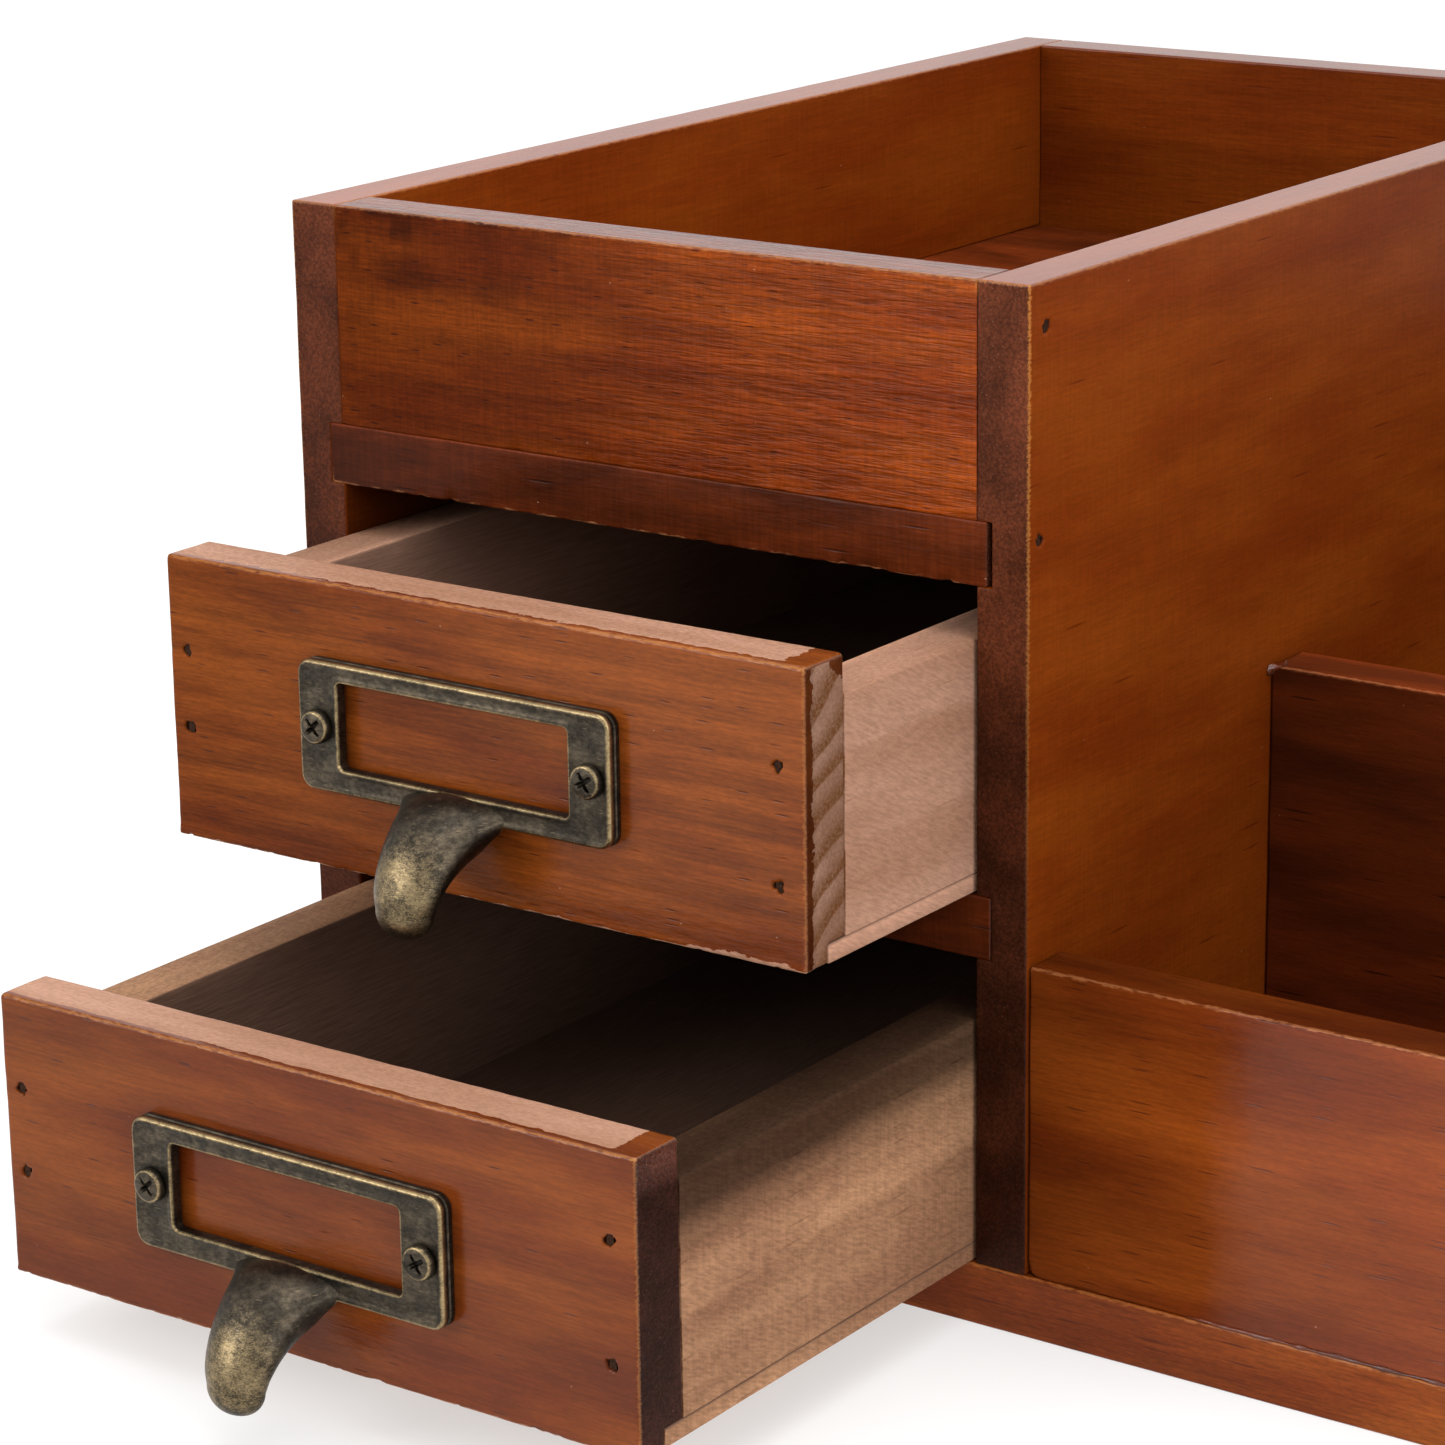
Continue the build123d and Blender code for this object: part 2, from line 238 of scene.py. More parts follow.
def grain_place(shader, grain):
    """Coordinates in millimetres whose first component runs along the grain."""
    parts = shader.add("SeparateXYZ", {0: shader.millimetres()}, None).outputs
    return shader.add("CombineXYZ", {i: parts[axis] for i, axis in enumerate(GRAIN_ORDER[grain])})


def growth_rings(shader, place, centre, spacing, warp):
    """How dark the growth rings are, from 0 to 1, about a pith line beside the board."""
    drift = shader.noise(place, (1 / 140, 1 / 30, 1 / 30), output=1)
    drift = shader.vector("SUBTRACT", drift, (0.5, 0.5, 0.5))
    bent = shader.vector("ADD", place, shader.scaled(drift, (0, warp, warp)))
    away = shader.vector("SUBTRACT", shader.scaled(bent, (0, 1, 1)), (0, *centre))
    radius = shader.vector("LENGTH", away, output=1)
    turn = shader.math("FRACT", shader.math("DIVIDE", radius, spacing))
    rise = shader.clamp(turn, 0.15, 0.85)
    fall = shader.clamp(turn, 0.88, 1.0, 1.0, 0.0)
    return shader.times(rise, fall)


def scattered(shader, place, size, reach, share):
    """Sparse spots, from 0 to 1: one in each cell of the given size, in a share of the cells."""
    cells = shader.scaled(place, tuple(1 / side for side in size))
    spot = shader.add("TexVoronoi", {"Vector": cells, "Scale": 1.0}, None).outputs
    pick = shader.vector("DOT_PRODUCT", spot["Color"], (1, 0, 0), output=1)
    chosen = shader.math("LESS_THAN", pick, share)
    near = shader.clamp(spot["Distance"], 0.3 * reach, reach, 1.0, 0.0)
    return shader.times(near, chosen)


def wood(name, grain, tone, seed, centre, bare=PINKISH, spacing=5.0, warp=8.0, rings=0.12,
         bare_rings=0.25, ripple=0.0, bare_ripple=0.0, ribs=0.0, slope=0.0, pores=0.35,
         pore_size=(15, 1.0, 1.0), streaks=0.35, fibres=0.3, end_share=1.0, raggedness=1.6,
         coat_roughness=0.1, relief=1.0):
    """A stained and varnished board. Its mesh says where it is bare, worn, pitted, glossy and dark."""
    shader = Shader(name)
    blend, clamp, times, times_plus = shader.blend, shader.clamp, shader.times, shader.times_plus
    attribute, brightened = shader.attribute, shader.brightened
    shift = tuple(seed * step for step in SEED_SHIFT)
    place = shader.vector("ADD", grain_place(shader, grain), shift)

    def turned(angle):
        """The board's coordinates turned within its face, by an angle in radians."""
        return shader.add("VectorRotate", {"Vector": place, "Axis": (0, 1, 0), "Angle": angle})

    def noise_of(length, width, detail, roughness):
        """Noise with features of this length along the grain and this width across it."""
        return shader.noise(place, (1 / length, 1 / width, 1 / width), detail, roughness)

    pith = (centre[0] + shift[1], centre[1] + shift[2])
    ring = growth_rings(shader, turned(slope) if slope else place, pith, spacing, warp)
    cloud = noise_of(70, 16, 4.0, 0.55)
    band = noise_of(45, 4.5, 3.0, 0.6)
    fibre = noise_of(10, 0.5, 4.0, 0.66)
    grit = noise_of(1.6, 0.42, 2.0, 0.6)

    # The stain: broad changes, growth rings, fibres, then dark streaks and pores
    stain = blend(clamp(cloud, 0.34, 0.66), tone.light, tone.dark)
    thin = clamp(fibre, 0.3, 0.7, 1 + fibres, 1 - fibres)
    fine = clamp(grit, 0.3, 0.7, 1 + 0.6 * fibres, 1 - 0.6 * fibres)
    grown = times_plus(ring, -rings, 1.0)
    stain = brightened(stain, times(grown, times(thin, fine)))
    dark_band = times(clamp(band, 0.5, 0.72, 0.0, streaks), clamp(fibre, 0.35, 0.6, 0.5, 1.0))
    stain = blend(dark_band, stain, tone.streak)
    pore = scattered(shader, place, pore_size, 0.3, pores)
    stain = blend(times(pore, 0.75), stain, tone.streak)
    comb = noise_of(0.7, 12, 2.0, 0.6)
    if ripple:
        stain = brightened(stain, clamp(comb, 0.4, 0.62, 1 - ripple, 1 + ripple))
    # Painted highlight and shade: fine light and dark lines along the grain stand in for light on the fibre
    # relief, which the bump also raises
    if ribs:
        rib = times(clamp(noise_of(9, 0.8, 2.0, 0.6), 0.36, 0.6), clamp(attribute("tone"), 0.85, 1.15))
        stain = brightened(stain, times_plus(rib, 2 * ribs, 1 - ribs))

    # End grain: dark and speckled
    normal = shader.add("NewGeometry", {}, "Normal")
    axis = tuple(float(letter == grain) for letter in "xyz")
    facing = shader.math("ABSOLUTE", shader.vector("DOT_PRODUCT", normal, axis, output=1))
    end = clamp(facing, 0.55, 0.85, 0.0, end_share)
    speckle = shader.noise(place, (1.7, 1.7, 1.7), 3.0, 0.7)
    end_colour = brightened(tone.end, clamp(speckle, 0.34, 0.68, 0.72, 1.42))
    end_colour = brightened(end_colour, clamp(cloud, 0.35, 0.65, 1.25, 0.6))
    # Painted glints: pale specks on the end grain stand in for sparkles of light
    end_glint = clamp(shader.noise(place, (3.1, 3.1, 3.1), 1.0), 0.66, 0.76)
    end_colour = blend(times(end_glint, 0.22), end_colour, SHEEN_FLECK)
    stain = blend(end, stain, end_colour)

    # Painted glints: sparse pale specks that stand in for sparkles of light on the varnish
    glint_speck = scattered(shader, place, (6.0, 4.0, 4.0), 0.045, 0.3)
    stain = blend(times(glint_speck, 0.6), stain, SHEEN_FLECK)

    # Worn varnish along the edges that the mesh names
    ragged = times_plus(shader.centred(grit), 1.6, attribute("edge"))
    worn = times(clamp(ragged, 0.05, 0.55, 1.0, 0.0), attribute("wear"))
    stain = blend(worn, stain, tone.worn)

    # Bare wood
    raw = blend(clamp(cloud, 0.36, 0.64), bare.light, bare.dark)
    raw = blend(clamp(band, 0.45, 0.7, 0.0, 0.3), raw, bare.dark)
    fleck = shader.noise(turned(SAW_ANGLE), (1 / 2.6, 1 / 0.6, 1 / 0.5), 3.0, 0.65)
    raw = brightened(raw, clamp(fleck, 0.3, 0.7, 1 - fibres, 1 + fibres))
    if bare_ripple:
        raw = brightened(raw, clamp(comb, 0.42, 0.6, 1 - bare_ripple, 1 + bare_ripple))
    growth = times(ring, clamp(facing, 0.55, 0.85, bare_rings, 1.0))
    growth = times(growth, clamp(speckle, 0.3, 0.65, 0.4, 1.1))
    raw = blend(growth, raw, bare.streak)
    raw = blend(times(pore, 0.35), raw, bare.streak)
    # Painted shade: the drawers' inner faces turn dark brown
    raw = blend(clamp(attribute("inside"), -0.3, 0.3), raw, brightened(PAINTED_INSIDE_SHADE, thin))
    jag = shader.centred(noise_of(3.5, 1.7, 3.0, 0.6))
    is_bare = clamp(times_plus(jag, raggedness, attribute("raw")), -0.06, 0.1)
    colour = blend(is_bare, stain, raw)

    # Nail marks, and large soft changes of tone, among them painted shade and painted light
    colour = blend(clamp(attribute("pit"), 0.15, 0.6, 0.0, 0.95), colour, SOOT)
    colour = brightened(colour, attribute("tone"))

    # Relief: fibres, pores and the varnish's own slight unevenness
    peel = noise_of(6.0, 1.8, 2.0, 0.5)
    height = times_plus(fibre, 0.5, times(peel, 0.9))
    height = times_plus(grit, 0.22, height)
    if ribs:
        height = times_plus(rib, 6 * ribs, height)
    height = times_plus(pore, -0.5, height)
    height = times_plus(times(end, speckle), 1.7, height)
    height = times_plus(times(is_bare, grit), 0.9, height)
    bump = shader.add("Bump", {"Strength": 1.0, "Distance": 0.00009 * relief, "Height": height})

    gloss = times(attribute("gloss"), clamp(is_bare, 0.0, 1.0, 1.0, 0.12))
    gloss = times(gloss, clamp(attribute("pit"), 0.0, 0.3, 1.0, 0.0))
    return shader.finish({
        "Base Color": colour,
        "Roughness": clamp(is_bare, 0.0, 1.0, 0.45, 0.65),
        "Specular IOR Level": 0.02,
        "Coat Weight": gloss,
        "Coat Roughness": coat_roughness,
        "Coat IOR": 1.5,
        "Normal": bump,
        "Coat Normal": bump,
    })


# --- Metal ---
PATINA_DARK = (0.034, 0.029, 0.023, 1)
PATINA_LIGHT = (0.070, 0.056, 0.040, 1)
PATINA_GRAIN = (0.17, 0.125, 0.07, 1)
SCRATCHED = (0.26, 0.20, 0.12, 1)
BRIGHT_BRASS = (0.46, 0.335, 0.165, 1)
GRIME = (0.014, 0.012, 0.010, 1)
RUST_DARK = (0.016, 0.008, 0.005, 1)
RUST_LIGHT = (0.045, 0.018, 0.009, 1)


def antique_brass():
    """Brass under a dark patina, bright on its edges and on the finger hook's crown: partly worn brass,
    partly painted highlight.
    """
    shader = Shader("antique_brass")
    blend, clamp, times, times_plus = shader.blend, shader.clamp, shader.times, shader.times_plus
    attribute, brightened = shader.attribute, shader.brightened
    place = shader.millimetres()
    cloud = shader.noise(place, (0.3, 0.3, 0.3), 3.0, 0.6)
    mottle = shader.noise(place, (0.9, 0.9, 1.8), 4.0, 0.65)
    grain = shader.noise(place, (3.2, 3.2, 6.4), 3.0, 0.7)
    scratch = scattered(shader, place, (2.4, 2.4, 0.35), 0.3, 0.3)
    patina = blend(clamp(cloud, 0.38, 0.64), PATINA_DARK, PATINA_LIGHT)
    patina = brightened(patina, clamp(mottle, 0.35, 0.65, 0.75, 1.35))
    patina = blend(clamp(grain, 0.52, 0.76, 0.0, 0.5), patina, PATINA_GRAIN)
    patina = blend(times(scratch, 0.35), patina, SCRATCHED)
    broken = clamp(cloud, 0.36, 0.62, 0.88, 1.08)
    rubbed_and_highlight = times(attribute("rubbed_and_highlight"), broken)
    ragged = times_plus(shader.centred(mottle), 0.32, rubbed_and_highlight)
    ragged = times_plus(shader.centred(grain), 0.75, ragged)
    bright = clamp(ragged, 0.22, 0.85)
    colour = blend(bright, patina, BRIGHT_BRASS)
    colour = blend(clamp(attribute("grime"), 0.1, 1.0, 0.0, 0.85), colour, GRIME)
    height = times_plus(mottle, 0.8, times(grain, 0.4))
    return shader.finish({
        "Base Color": colour,
        "Metallic": 1.0,
        "Roughness": times_plus(grain, 0.16, clamp(bright, 0.0, 1.0, 0.36, 0.24)),
        "Normal": shader.add("Bump", {"Strength": 0.5, "Distance": 0.00003, "Height": height}),
    })


def brad_steel():
    """Steel under rust and dried stain."""
    shader = Shader("brad_steel")
    rust = shader.noise(shader.millimetres(), (2.2, 2.2, 2.2), 3.0, 0.6)
    return shader.finish({
        "Base Color": shader.blend(shader.clamp(rust, 0.4, 0.65), RUST_DARK, RUST_LIGHT),
        "Roughness": shader.clamp(rust, 0.3, 0.7, 0.55, 0.8),
        "Specular IOR Level": 0.05,
        "Normal": shader.add("Bump", {"Strength": 0.5, "Distance": 0.00004, "Height": rust}),
    })


# --- Boards as rounded meshes ---
# Grid lines across a rounded edge, as shares of its radius, and the least gap between any two lines
ARC_SHARES = [1 - math.tan(math.radians(turn)) for turn in (0, 15, 30)] + [1.6]
LINE_GAP = 0.06


def grid_lines(limits, spacing, radius, extra=()):
    """Grid lines between limits, with more of them across each rounded edge."""
    near = [radius * share for share in ARC_SHARES]
    lines = [line for line in extra if limits[0] < line < limits[-1]]
    for low, high in zip(limits, limits[1:]):
        count = max(1, round((high - low) / spacing))
        lines += [low + (high - low) * step / count for step in range(1, count)]
        if high - low > 3.5 * radius:
            lines += [low + step for step in near] + [high - step for step in near]
    kept = list(limits)
    for line in sorted(lines):
        if min(abs(line - other) for other in (*limits, kept[-1])) > LINE_GAP:
            kept.append(line)
    return np.array(sorted(kept))


def union_surface(boxes, lines):
    """The outside of a union of boxes, as places and quads on a grid."""
    middles = [(line[1:] + line[:-1]) / 2 for line in lines]
    x, y, z = np.meshgrid(*middles, indexing="ij")
    solid = np.zeros([len(m) + 2 for m in middles], bool)
    for low, high in boxes:
        inside = [(part > start) & (part < stop) for part, start, stop in zip((x, y, z), low, high)]
        solid[1:-1, 1:-1, 1:-1] |= inside[0] & inside[1] & inside[2]
    counts = [len(line) for line in lines]
    quads = []
    for axis in range(3):
        before = solid.take(range(solid.shape[axis] - 1), axis)
        after = solid.take(range(1, solid.shape[axis]), axis)
        u, v = [a for a in range(3) if a != axis]
        for wall, outward in ((before & ~after, 1), (~before & after, -1)):
            cells = np.argwhere(wall)
            if not len(cells):
                continue
            corner = cells.copy()
            corner[:, u] -= 1
            corner[:, v] -= 1
            loop = [(0, 0), (1, 0), (1, 1), (0, 1)]
            if (outward > 0) != (axis != 1):
                loop = loop[::-1]
            faces = []
            for step_u, step_v in loop:
                place = corner.copy()
                place[:, u] += step_u
                place[:, v] += step_v
                faces.append((place[:, 0] * counts[1] + place[:, 1]) * counts[2] + place[:, 2])
            quads.append(np.stack(faces, 1))
    quads = np.concatenate(quads)
    used, quads = np.unique(quads, return_inverse=True)
    quads = quads.reshape(-1, 4)
    index = np.stack(np.unravel_index(used, counts), 1)
    places = np.stack([lines[axis][index[:, axis]] for axis in range(3)], 1)
    return places, quads


def rounded(places, boxes, radius):
    """Rounds the outer edges of a union of boxes, and measures how far each place is from them."""
    nearest = np.full(len(places), 1e9)
    edge = np.full(len(places), -1.0)
    moved = places.copy()
    for low, high in boxes:
        reach = radius[:, None]
        core = np.clip(places, low + reach, high - reach)
        away = places - core
        distance = np.linalg.norm(away, axis=1)
        walls = np.sort(np.minimum(np.abs(places - low), np.abs(high - places)), axis=1)[:, 1]
        better = (distance < nearest - 1e-4) | ((distance < nearest + 1e-4) & (walls > edge))
        fixed = core + away * (radius / np.maximum(distance, 1e-9))[:, None]
        moved[better] = fixed[better]
        edge[better] = walls[better]
        nearest = np.minimum(nearest, distance)
    return moved, edge


def drift(places, size, seed=0.0):
    """Smooth random values from about -1 to 1 that change over the given size."""
    shift = seed * 17.3
    return np.array([noise.noise((x / size + shift, y / size - shift, z / size))
                     for x, y, z in places.tolist()])


def new_object(name, data):
    """A new object in the scene."""
    item = bpy.data.objects.new(name, data)
    bpy.context.scene.collection.objects.link(item)
    return item


def mesh_object(name, places, faces, material, attributes, smooth_angle=None):
    """A mesh in metres, with its attributes, shaded smooth."""
    mesh = bpy.data.meshes.new(name)
    mesh.from_pydata((np.asarray(places) * MM).tolist(), [], [list(face) for face in faces])
    mesh.polygons.foreach_set("use_smooth", [True] * len(mesh.polygons))
    for key, values in attributes.items():
        layer = mesh.attributes.new(key, "FLOAT", "POINT")
        spread = np.broadcast_to(np.asarray(values, np.float32), len(places))
        layer.data.foreach_set("value", spread.ravel())
    mesh.materials.append(material)
    if smooth_angle:
        mesh.set_sharp_from_angle(angle=math.radians(smooth_angle))
    mesh.update()
    return new_object(name, mesh)


# What a board's mesh says of its surface where its finish says nothing else
PLAIN_BOARD = {"raw": -3.0, "inside": -2.0, "gloss": 0.5, "tone": 1.0, "wear": 0.0}
# The pit over a sunk brad: its depth and mean radius, how far out it may reach, the mesh's fine step
# there and the number of such steps each way
PIT_DEPTH = 0.95
PIT_RADIUS = 1.25
PIT_REACH = 2.4
PIT_STEP = 0.28
PIT_STEPS = 8
# No edge is rounded by less than this
LEAST_RADIUS = 0.12


def declare(piece, body, slot, node=None):
    """Says which body a piece rides on and which CAD node it replaces; the slot, what it's made of, is not
    used.
    """
    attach(piece, body)
    if node:
        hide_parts(node)


def board(node, material, slot="varnished_wood", body="case", boxes=None, radius=0.45,
          spacing=(3.0, 3.0, 3.0), marks=(), chip=None, finish=None, wander=0.35):
    """A refined board in place of a CAD node. Marks are (place, axis) pairs of sunk brads."""
    low, high = box_of(node)
    boxes = boxes or [(low, high)]
    lines = []
    for axis in range(3):
        limits = sorted({round(float(corner[axis]), 4) for pair in boxes for corner in pair})
        fine = [place[axis] + step * PIT_STEP for place, mark_axis in marks if mark_axis != axis
                for step in range(-PIT_STEPS, PIT_STEPS + 1)]
        lines.append(grid_lines(limits, spacing[axis], radius, fine))
    places, quads = union_surface(boxes, lines)
    seed = sum(ord(letter) for letter in node) % 97
    uneven = 1 + wander * drift(places, 9.0, seed) + 0.5 * wander * drift(places, 2.0, seed + 1)
    reach = radius * uneven
    if chip is not None:
        reach = reach + chip(places)
    moved, edge = rounded(places, boxes, np.clip(reach, LEAST_RADIUS, None))
    pit = np.zeros(len(places))
    for place, axis in marks:
        across = [a for a in range(3) if a != axis]
        offset = places[:, across] - np.array(place)[across]
        distance = np.linalg.norm(offset, axis=1)
        close = (distance < PIT_REACH) & (np.abs(places[:, axis] - place[axis]) < PIT_REACH / 2)
        ragged = PIT_RADIUS + 0.55 * drift(places[close], 0.8, seed + 2)
        depth = np.clip((ragged - distance[close]) / 0.55, 0, 1)
        pit[close] = np.maximum(pit[close], depth)
        inward = np.sign((low + high)[axis] / 2 - place[axis])
        moved[close, axis] += inward * PIT_DEPTH * depth
    attributes = {"edge": edge, "pit": pit, **PLAIN_BOARD}
    if finish is not None:
        attributes.update(finish(places, low, high))
    declare(mesh_object(node + "_finished", moved, quads, material, attributes), body, slot, node)


def ramp(values, start, stop):
    """0 at start, 1 at stop and straight between them."""
    return np.clip((values - start) / (stop - start), 0, 1)


def facing_up(places, high):
    """1 on the board's top face and 0 half a millimetre below it."""
    return ramp(places[:, 2], high[2] - 0.5, high[2])


def along_edge(first, second, reach=1.4):
    """1 on the edge that is at distance 0 from two faces, and 0 beyond the reach."""
    return ramp(np.hypot(first, second), reach, 0.3 * reach)


# --- Case ---
def tower_side(node, shelves, material, outward):
    """A tower side board grooved for both shelves: satin faces, glossy rim, dark end grain in front."""
    low, high = box_of(node)
    back_low = box_of("tower_back_board")[0]
    (upper_low, upper_high), (lower_low, lower_high) = shelves
    on_right = outward > 0
    slab = (moved_to(low, x=lower_high[0]), high) if on_right else (low, moved_to(high, x=lower_low[0]))
    boxes = [slab, (moved_to(low, y=back_low[1]), high)]
    between = ((low[2], lower_low[2]), (lower_high[2], upper_low[2]), (upper_high[2], high[2]))
    for start, stop in between:
        boxes.append((moved_to(low, z=start), moved_to(high, z=stop)))
    surface = high[0] if on_right else low[0]

    def finish(places, low, high):
        x, y, z = places.T
        top = facing_up(places, high)
        front = ramp(y, low[1] + 0.5, low[1])
        rise = ramp(z, low[2], high[2])
        back = ramp(y, low[1], high[1])
        outer = np.abs(surface - x)
        inner = ramp(outer, 0.3, 0.6)
        # Painted shade: the inner faces are darkened inside the drawers' bays
        bay_shade = ramp(z, upper_low[2] + 1, upper_low[2] - 1)
        bay_shade = bay_shade * ramp(y, back_low[1] + 1, back_low[1] - 1)
        # Lighter towards the top and front: partly the stain, partly painted light
        face_tone = 0.90 + 0.30 * rise * (1 - back) + inner * (0.28 - 0.95 * bay_shade)
        end_tone = 0.38 + 1.05 * rise**2 if on_right else 0.42 + 0.5 * rise
        tone = face_tone + (end_tone - face_tone) * front
        corner = along_edge(outer, y - low[1]) * ramp(rise, 0.3, 0.7)
        wear = np.maximum(0.55 * corner, 0.35 * ramp(z, high[2] - 2, high[2]))
        return {"gloss": 0.03 + 0.72 * top + 0.05 * front, "tone": tone, "wear": wear}

    marks = brad_marks("tower_side_brads", 0, outward, surface)
    board(node, material, boxes=boxes, marks=marks, finish=finish)


def lower_edge_chips(low, amount, size, seed):
    """Wavy splinters along a board's lower front edge."""
    def chip(places):
        _, y, z = places.T
        near = ramp(z, low[2] + 2, low[2]) * (y < low[1] + 2)
        return near * amount * np.clip(drift(places, size, seed) * 1.6 - 0.15, 0, 1)
    return chip


def corner_notch(low, amount):
    """A missing splinter at a board's lower left corner."""
    def chip(places):
        x, y, z = places.T
        return amount * ramp(np.hypot(x - low[0], z - low[2]), 2.2, 0.4) * (y < low[1] + 2)
    return chip


# How far a board's gloss takes to rise where it starts part way along
GLOSS_FADE = 9


def front_face(left, right, top=None, left_tone=1.0, right_tone=1.0, top_tone=1.0, edge_wear=0.0,
               low_wear=0.0, blotches=0.0, span=None, gloss_start=None):
    """A finish whose gloss and tone run from the board's left to its right, with its own top.

    They reach their right values at the span, or gloss does so just after gloss_start.
    """
    def finish(places, low, high):
        x, y, z = places.T
        across = ramp(x, low[0], low[0] + span if span else high[0])
        up = facing_up(places, high)
        shiny = across
        if gloss_start is not None:
            shiny = x - low[0] + 3 * drift(places, 6.0, 9)
            shiny = ramp(shiny, gloss_start, gloss_start + GLOSS_FADE)
        gloss = left + (right - left) * shiny
        tone = left_tone + (right_tone - left_tone) * across
        if top is not None:
            gloss = gloss + (top - gloss) * up
            tone = tone + (top_tone - tone) * up
        wear = edge_wear * along_edge(high[2] - z, y - low[1])
        if low_wear:
            flakes = low_wear * ramp(drift(places, 3.0, 8), 0.0, 0.3)
            wear = wear + flakes * along_edge(z - low[2], y - low[1], 1.0)
        if blotches:
            near = ramp(across, 0.5, 0.15) * ramp(high[2] - z, 24, 4)
            dark = drift(places * (0.5, 1, 1), 5.0, 6) + 0.35 * drift(places, 2.0, 7)
            tone = tone * (1 - blotches * near * ramp(dark, 0.0, 0.35) * (1 - up))
        return {"gloss": gloss, "tone": tone, "wear": wear}
    return finish


def build_case():
    """The fixed boards."""
    front_wood = wood("varnish_front", "x", AMBER, 1, (-60, -25), spacing=7.5, warp=14.0, rings=0.16,
                      ripple=0.07, ribs=0.16, pores=0.25, pore_size=(5.0, 0.8, 0.8), streaks=0.25,
                      fibres=0.22, relief=1.5)
    side_wood = wood("varnish_side", "y", HONEY, 2, (-40, 60), spacing=11.0, rings=0.06, ripple=0.04,
                     pores=0.04, streaks=0.08, fibres=0.09, coat_roughness=0.2, relief=0.6)
    back_wood = wood("varnish_back", "x", HONEY, 11, (-40, 60), spacing=13.0, rings=0.16, ripple=0.03,
                     pores=0.1, streaks=0.3, fibres=0.12, coat_roughness=0.2, relief=0.5)
    panel_wood = wood("varnish_panel", "x", RUSSET, 3, (-50, 20), spacing=12.0, warp=16.0, rings=0.16,
                      pores=0.3, pore_size=(11, 0.6, 0.6), streaks=0.2, fibres=0.12, relief=0.8)
    base_wood = wood("varnish_base", "x", CHERRY, 4, (-90, -20), spacing=8.0, pores=0.3, streaks=0.25,
                     fibres=0.2, coat_roughness=0.15)
    shelf_wood = wood("varnish_shelf", "x", UMBER, 5, (-20, -30), spacing=16.0, warp=18.0, rings=0.26,
                      slope=0.35, ripple=0.08, pores=0.2, streaks=0.3, fibres=0.14)
    divider_wood = wood("varnish_divider", "x", UMBER, 6, (-30, 40), spacing=9.0, pores=0.15,
                        streaks=0.2, fibres=0.10)

    shelves = box_of("compartment_shelf"), box_of("drawer_shelf")
    tower_side("right_side_board", shelves, side_wood, 1)
    tower_side("left_side_board", shelves, side_wood, -1)

    # The lighter right part of its face is partly the stain and partly painted reflection
    board("top_front_board", front_wood, spacing=(0.8, 3, 3), radius=0.35,
          chip=lower_edge_chips(box_of("top_front_board")[0], 0.5, 1.6, 3),
          finish=front_face(0.0, 0.15, top=0.72, left_tone=0.72, right_tone=1.32, edge_wear=0.5,
                            blotches=0.5))
    board("compartment_shelf", shelf_wood, spacing=(0.8, 4, 3), radius=0.35,
          chip=lower_edge_chips(shelves[0][0], 1.3, 2.2, 4),
          finish=front_face(0.08, 0.16, top=0.1, right_tone=1.35, top_tone=1.9, low_wear=0.8))
    board("drawer_shelf", shelf_wood, spacing=(3, 4, 3), radius=0.35, finish=front_face(0.15, 0.2))
    board("tower_back_board", back_wood, finish=front_face(0.1, 0.1, top=0.75))

    panel_low, panel_high = box_of("low_front_panel")
    # Its tone rises from left to right: partly the stain, partly painted reflection
    board("low_front_panel", panel_wood, spacing=(1.0, 3, 3), radius=0.55,
          chip=corner_notch(panel_low, 1.1),
          finish=front_face(0.0, 0.5, top=0.0, left_tone=0.68, right_tone=1.4, top_tone=0.58,
                            edge_wear=0.6, span=75, gloss_start=33))
    board("mid_divider", divider_wood,
          finish=front_face(0.06, 0.1, top=0.2, top_tone=2.4, edge_wear=0.25))
    build_glue(shelf_wood)
    board("rear_panel", panel_wood, finish=front_face(0.2, 0.25, top=0.6))

    base_bottom = box_of("base_board")[0][2]
    board("base_board", base_wood, spacing=(4, 4, 3), marks=brad_marks("base_brads", 2, -1, base_bottom),
          finish=front_face(0.2, 0.3, top=0.4, left_tone=1.3, right_tone=1.3, top_tone=1.3,
                            edge_wear=0.3))

    low, high = box_of("right_end_board")
    divider_low, divider_high = box_of("mid_divider")
    rear_low = box_of("rear_panel")[0]
    steps = [
        (low, moved_to(high, z=panel_high[2])),
        (moved_to(low, y=divider_low[1]), moved_to(high, z=divider_high[2])),
        (moved_to(low, y=rear_low[1]), high),
    ]
    board("right_end_board", side_wood, boxes=steps, marks=brad_marks("end_board_brads", 0, 1, high[0]),
          finish=front_face(0.12, 0.12, top=0.6))


# How many sections a bead has, how many places are round each, and how far it starts from the panel's end
BEAD_SECTIONS = 160
BEAD_ROUND = 8
BEAD_START = 4


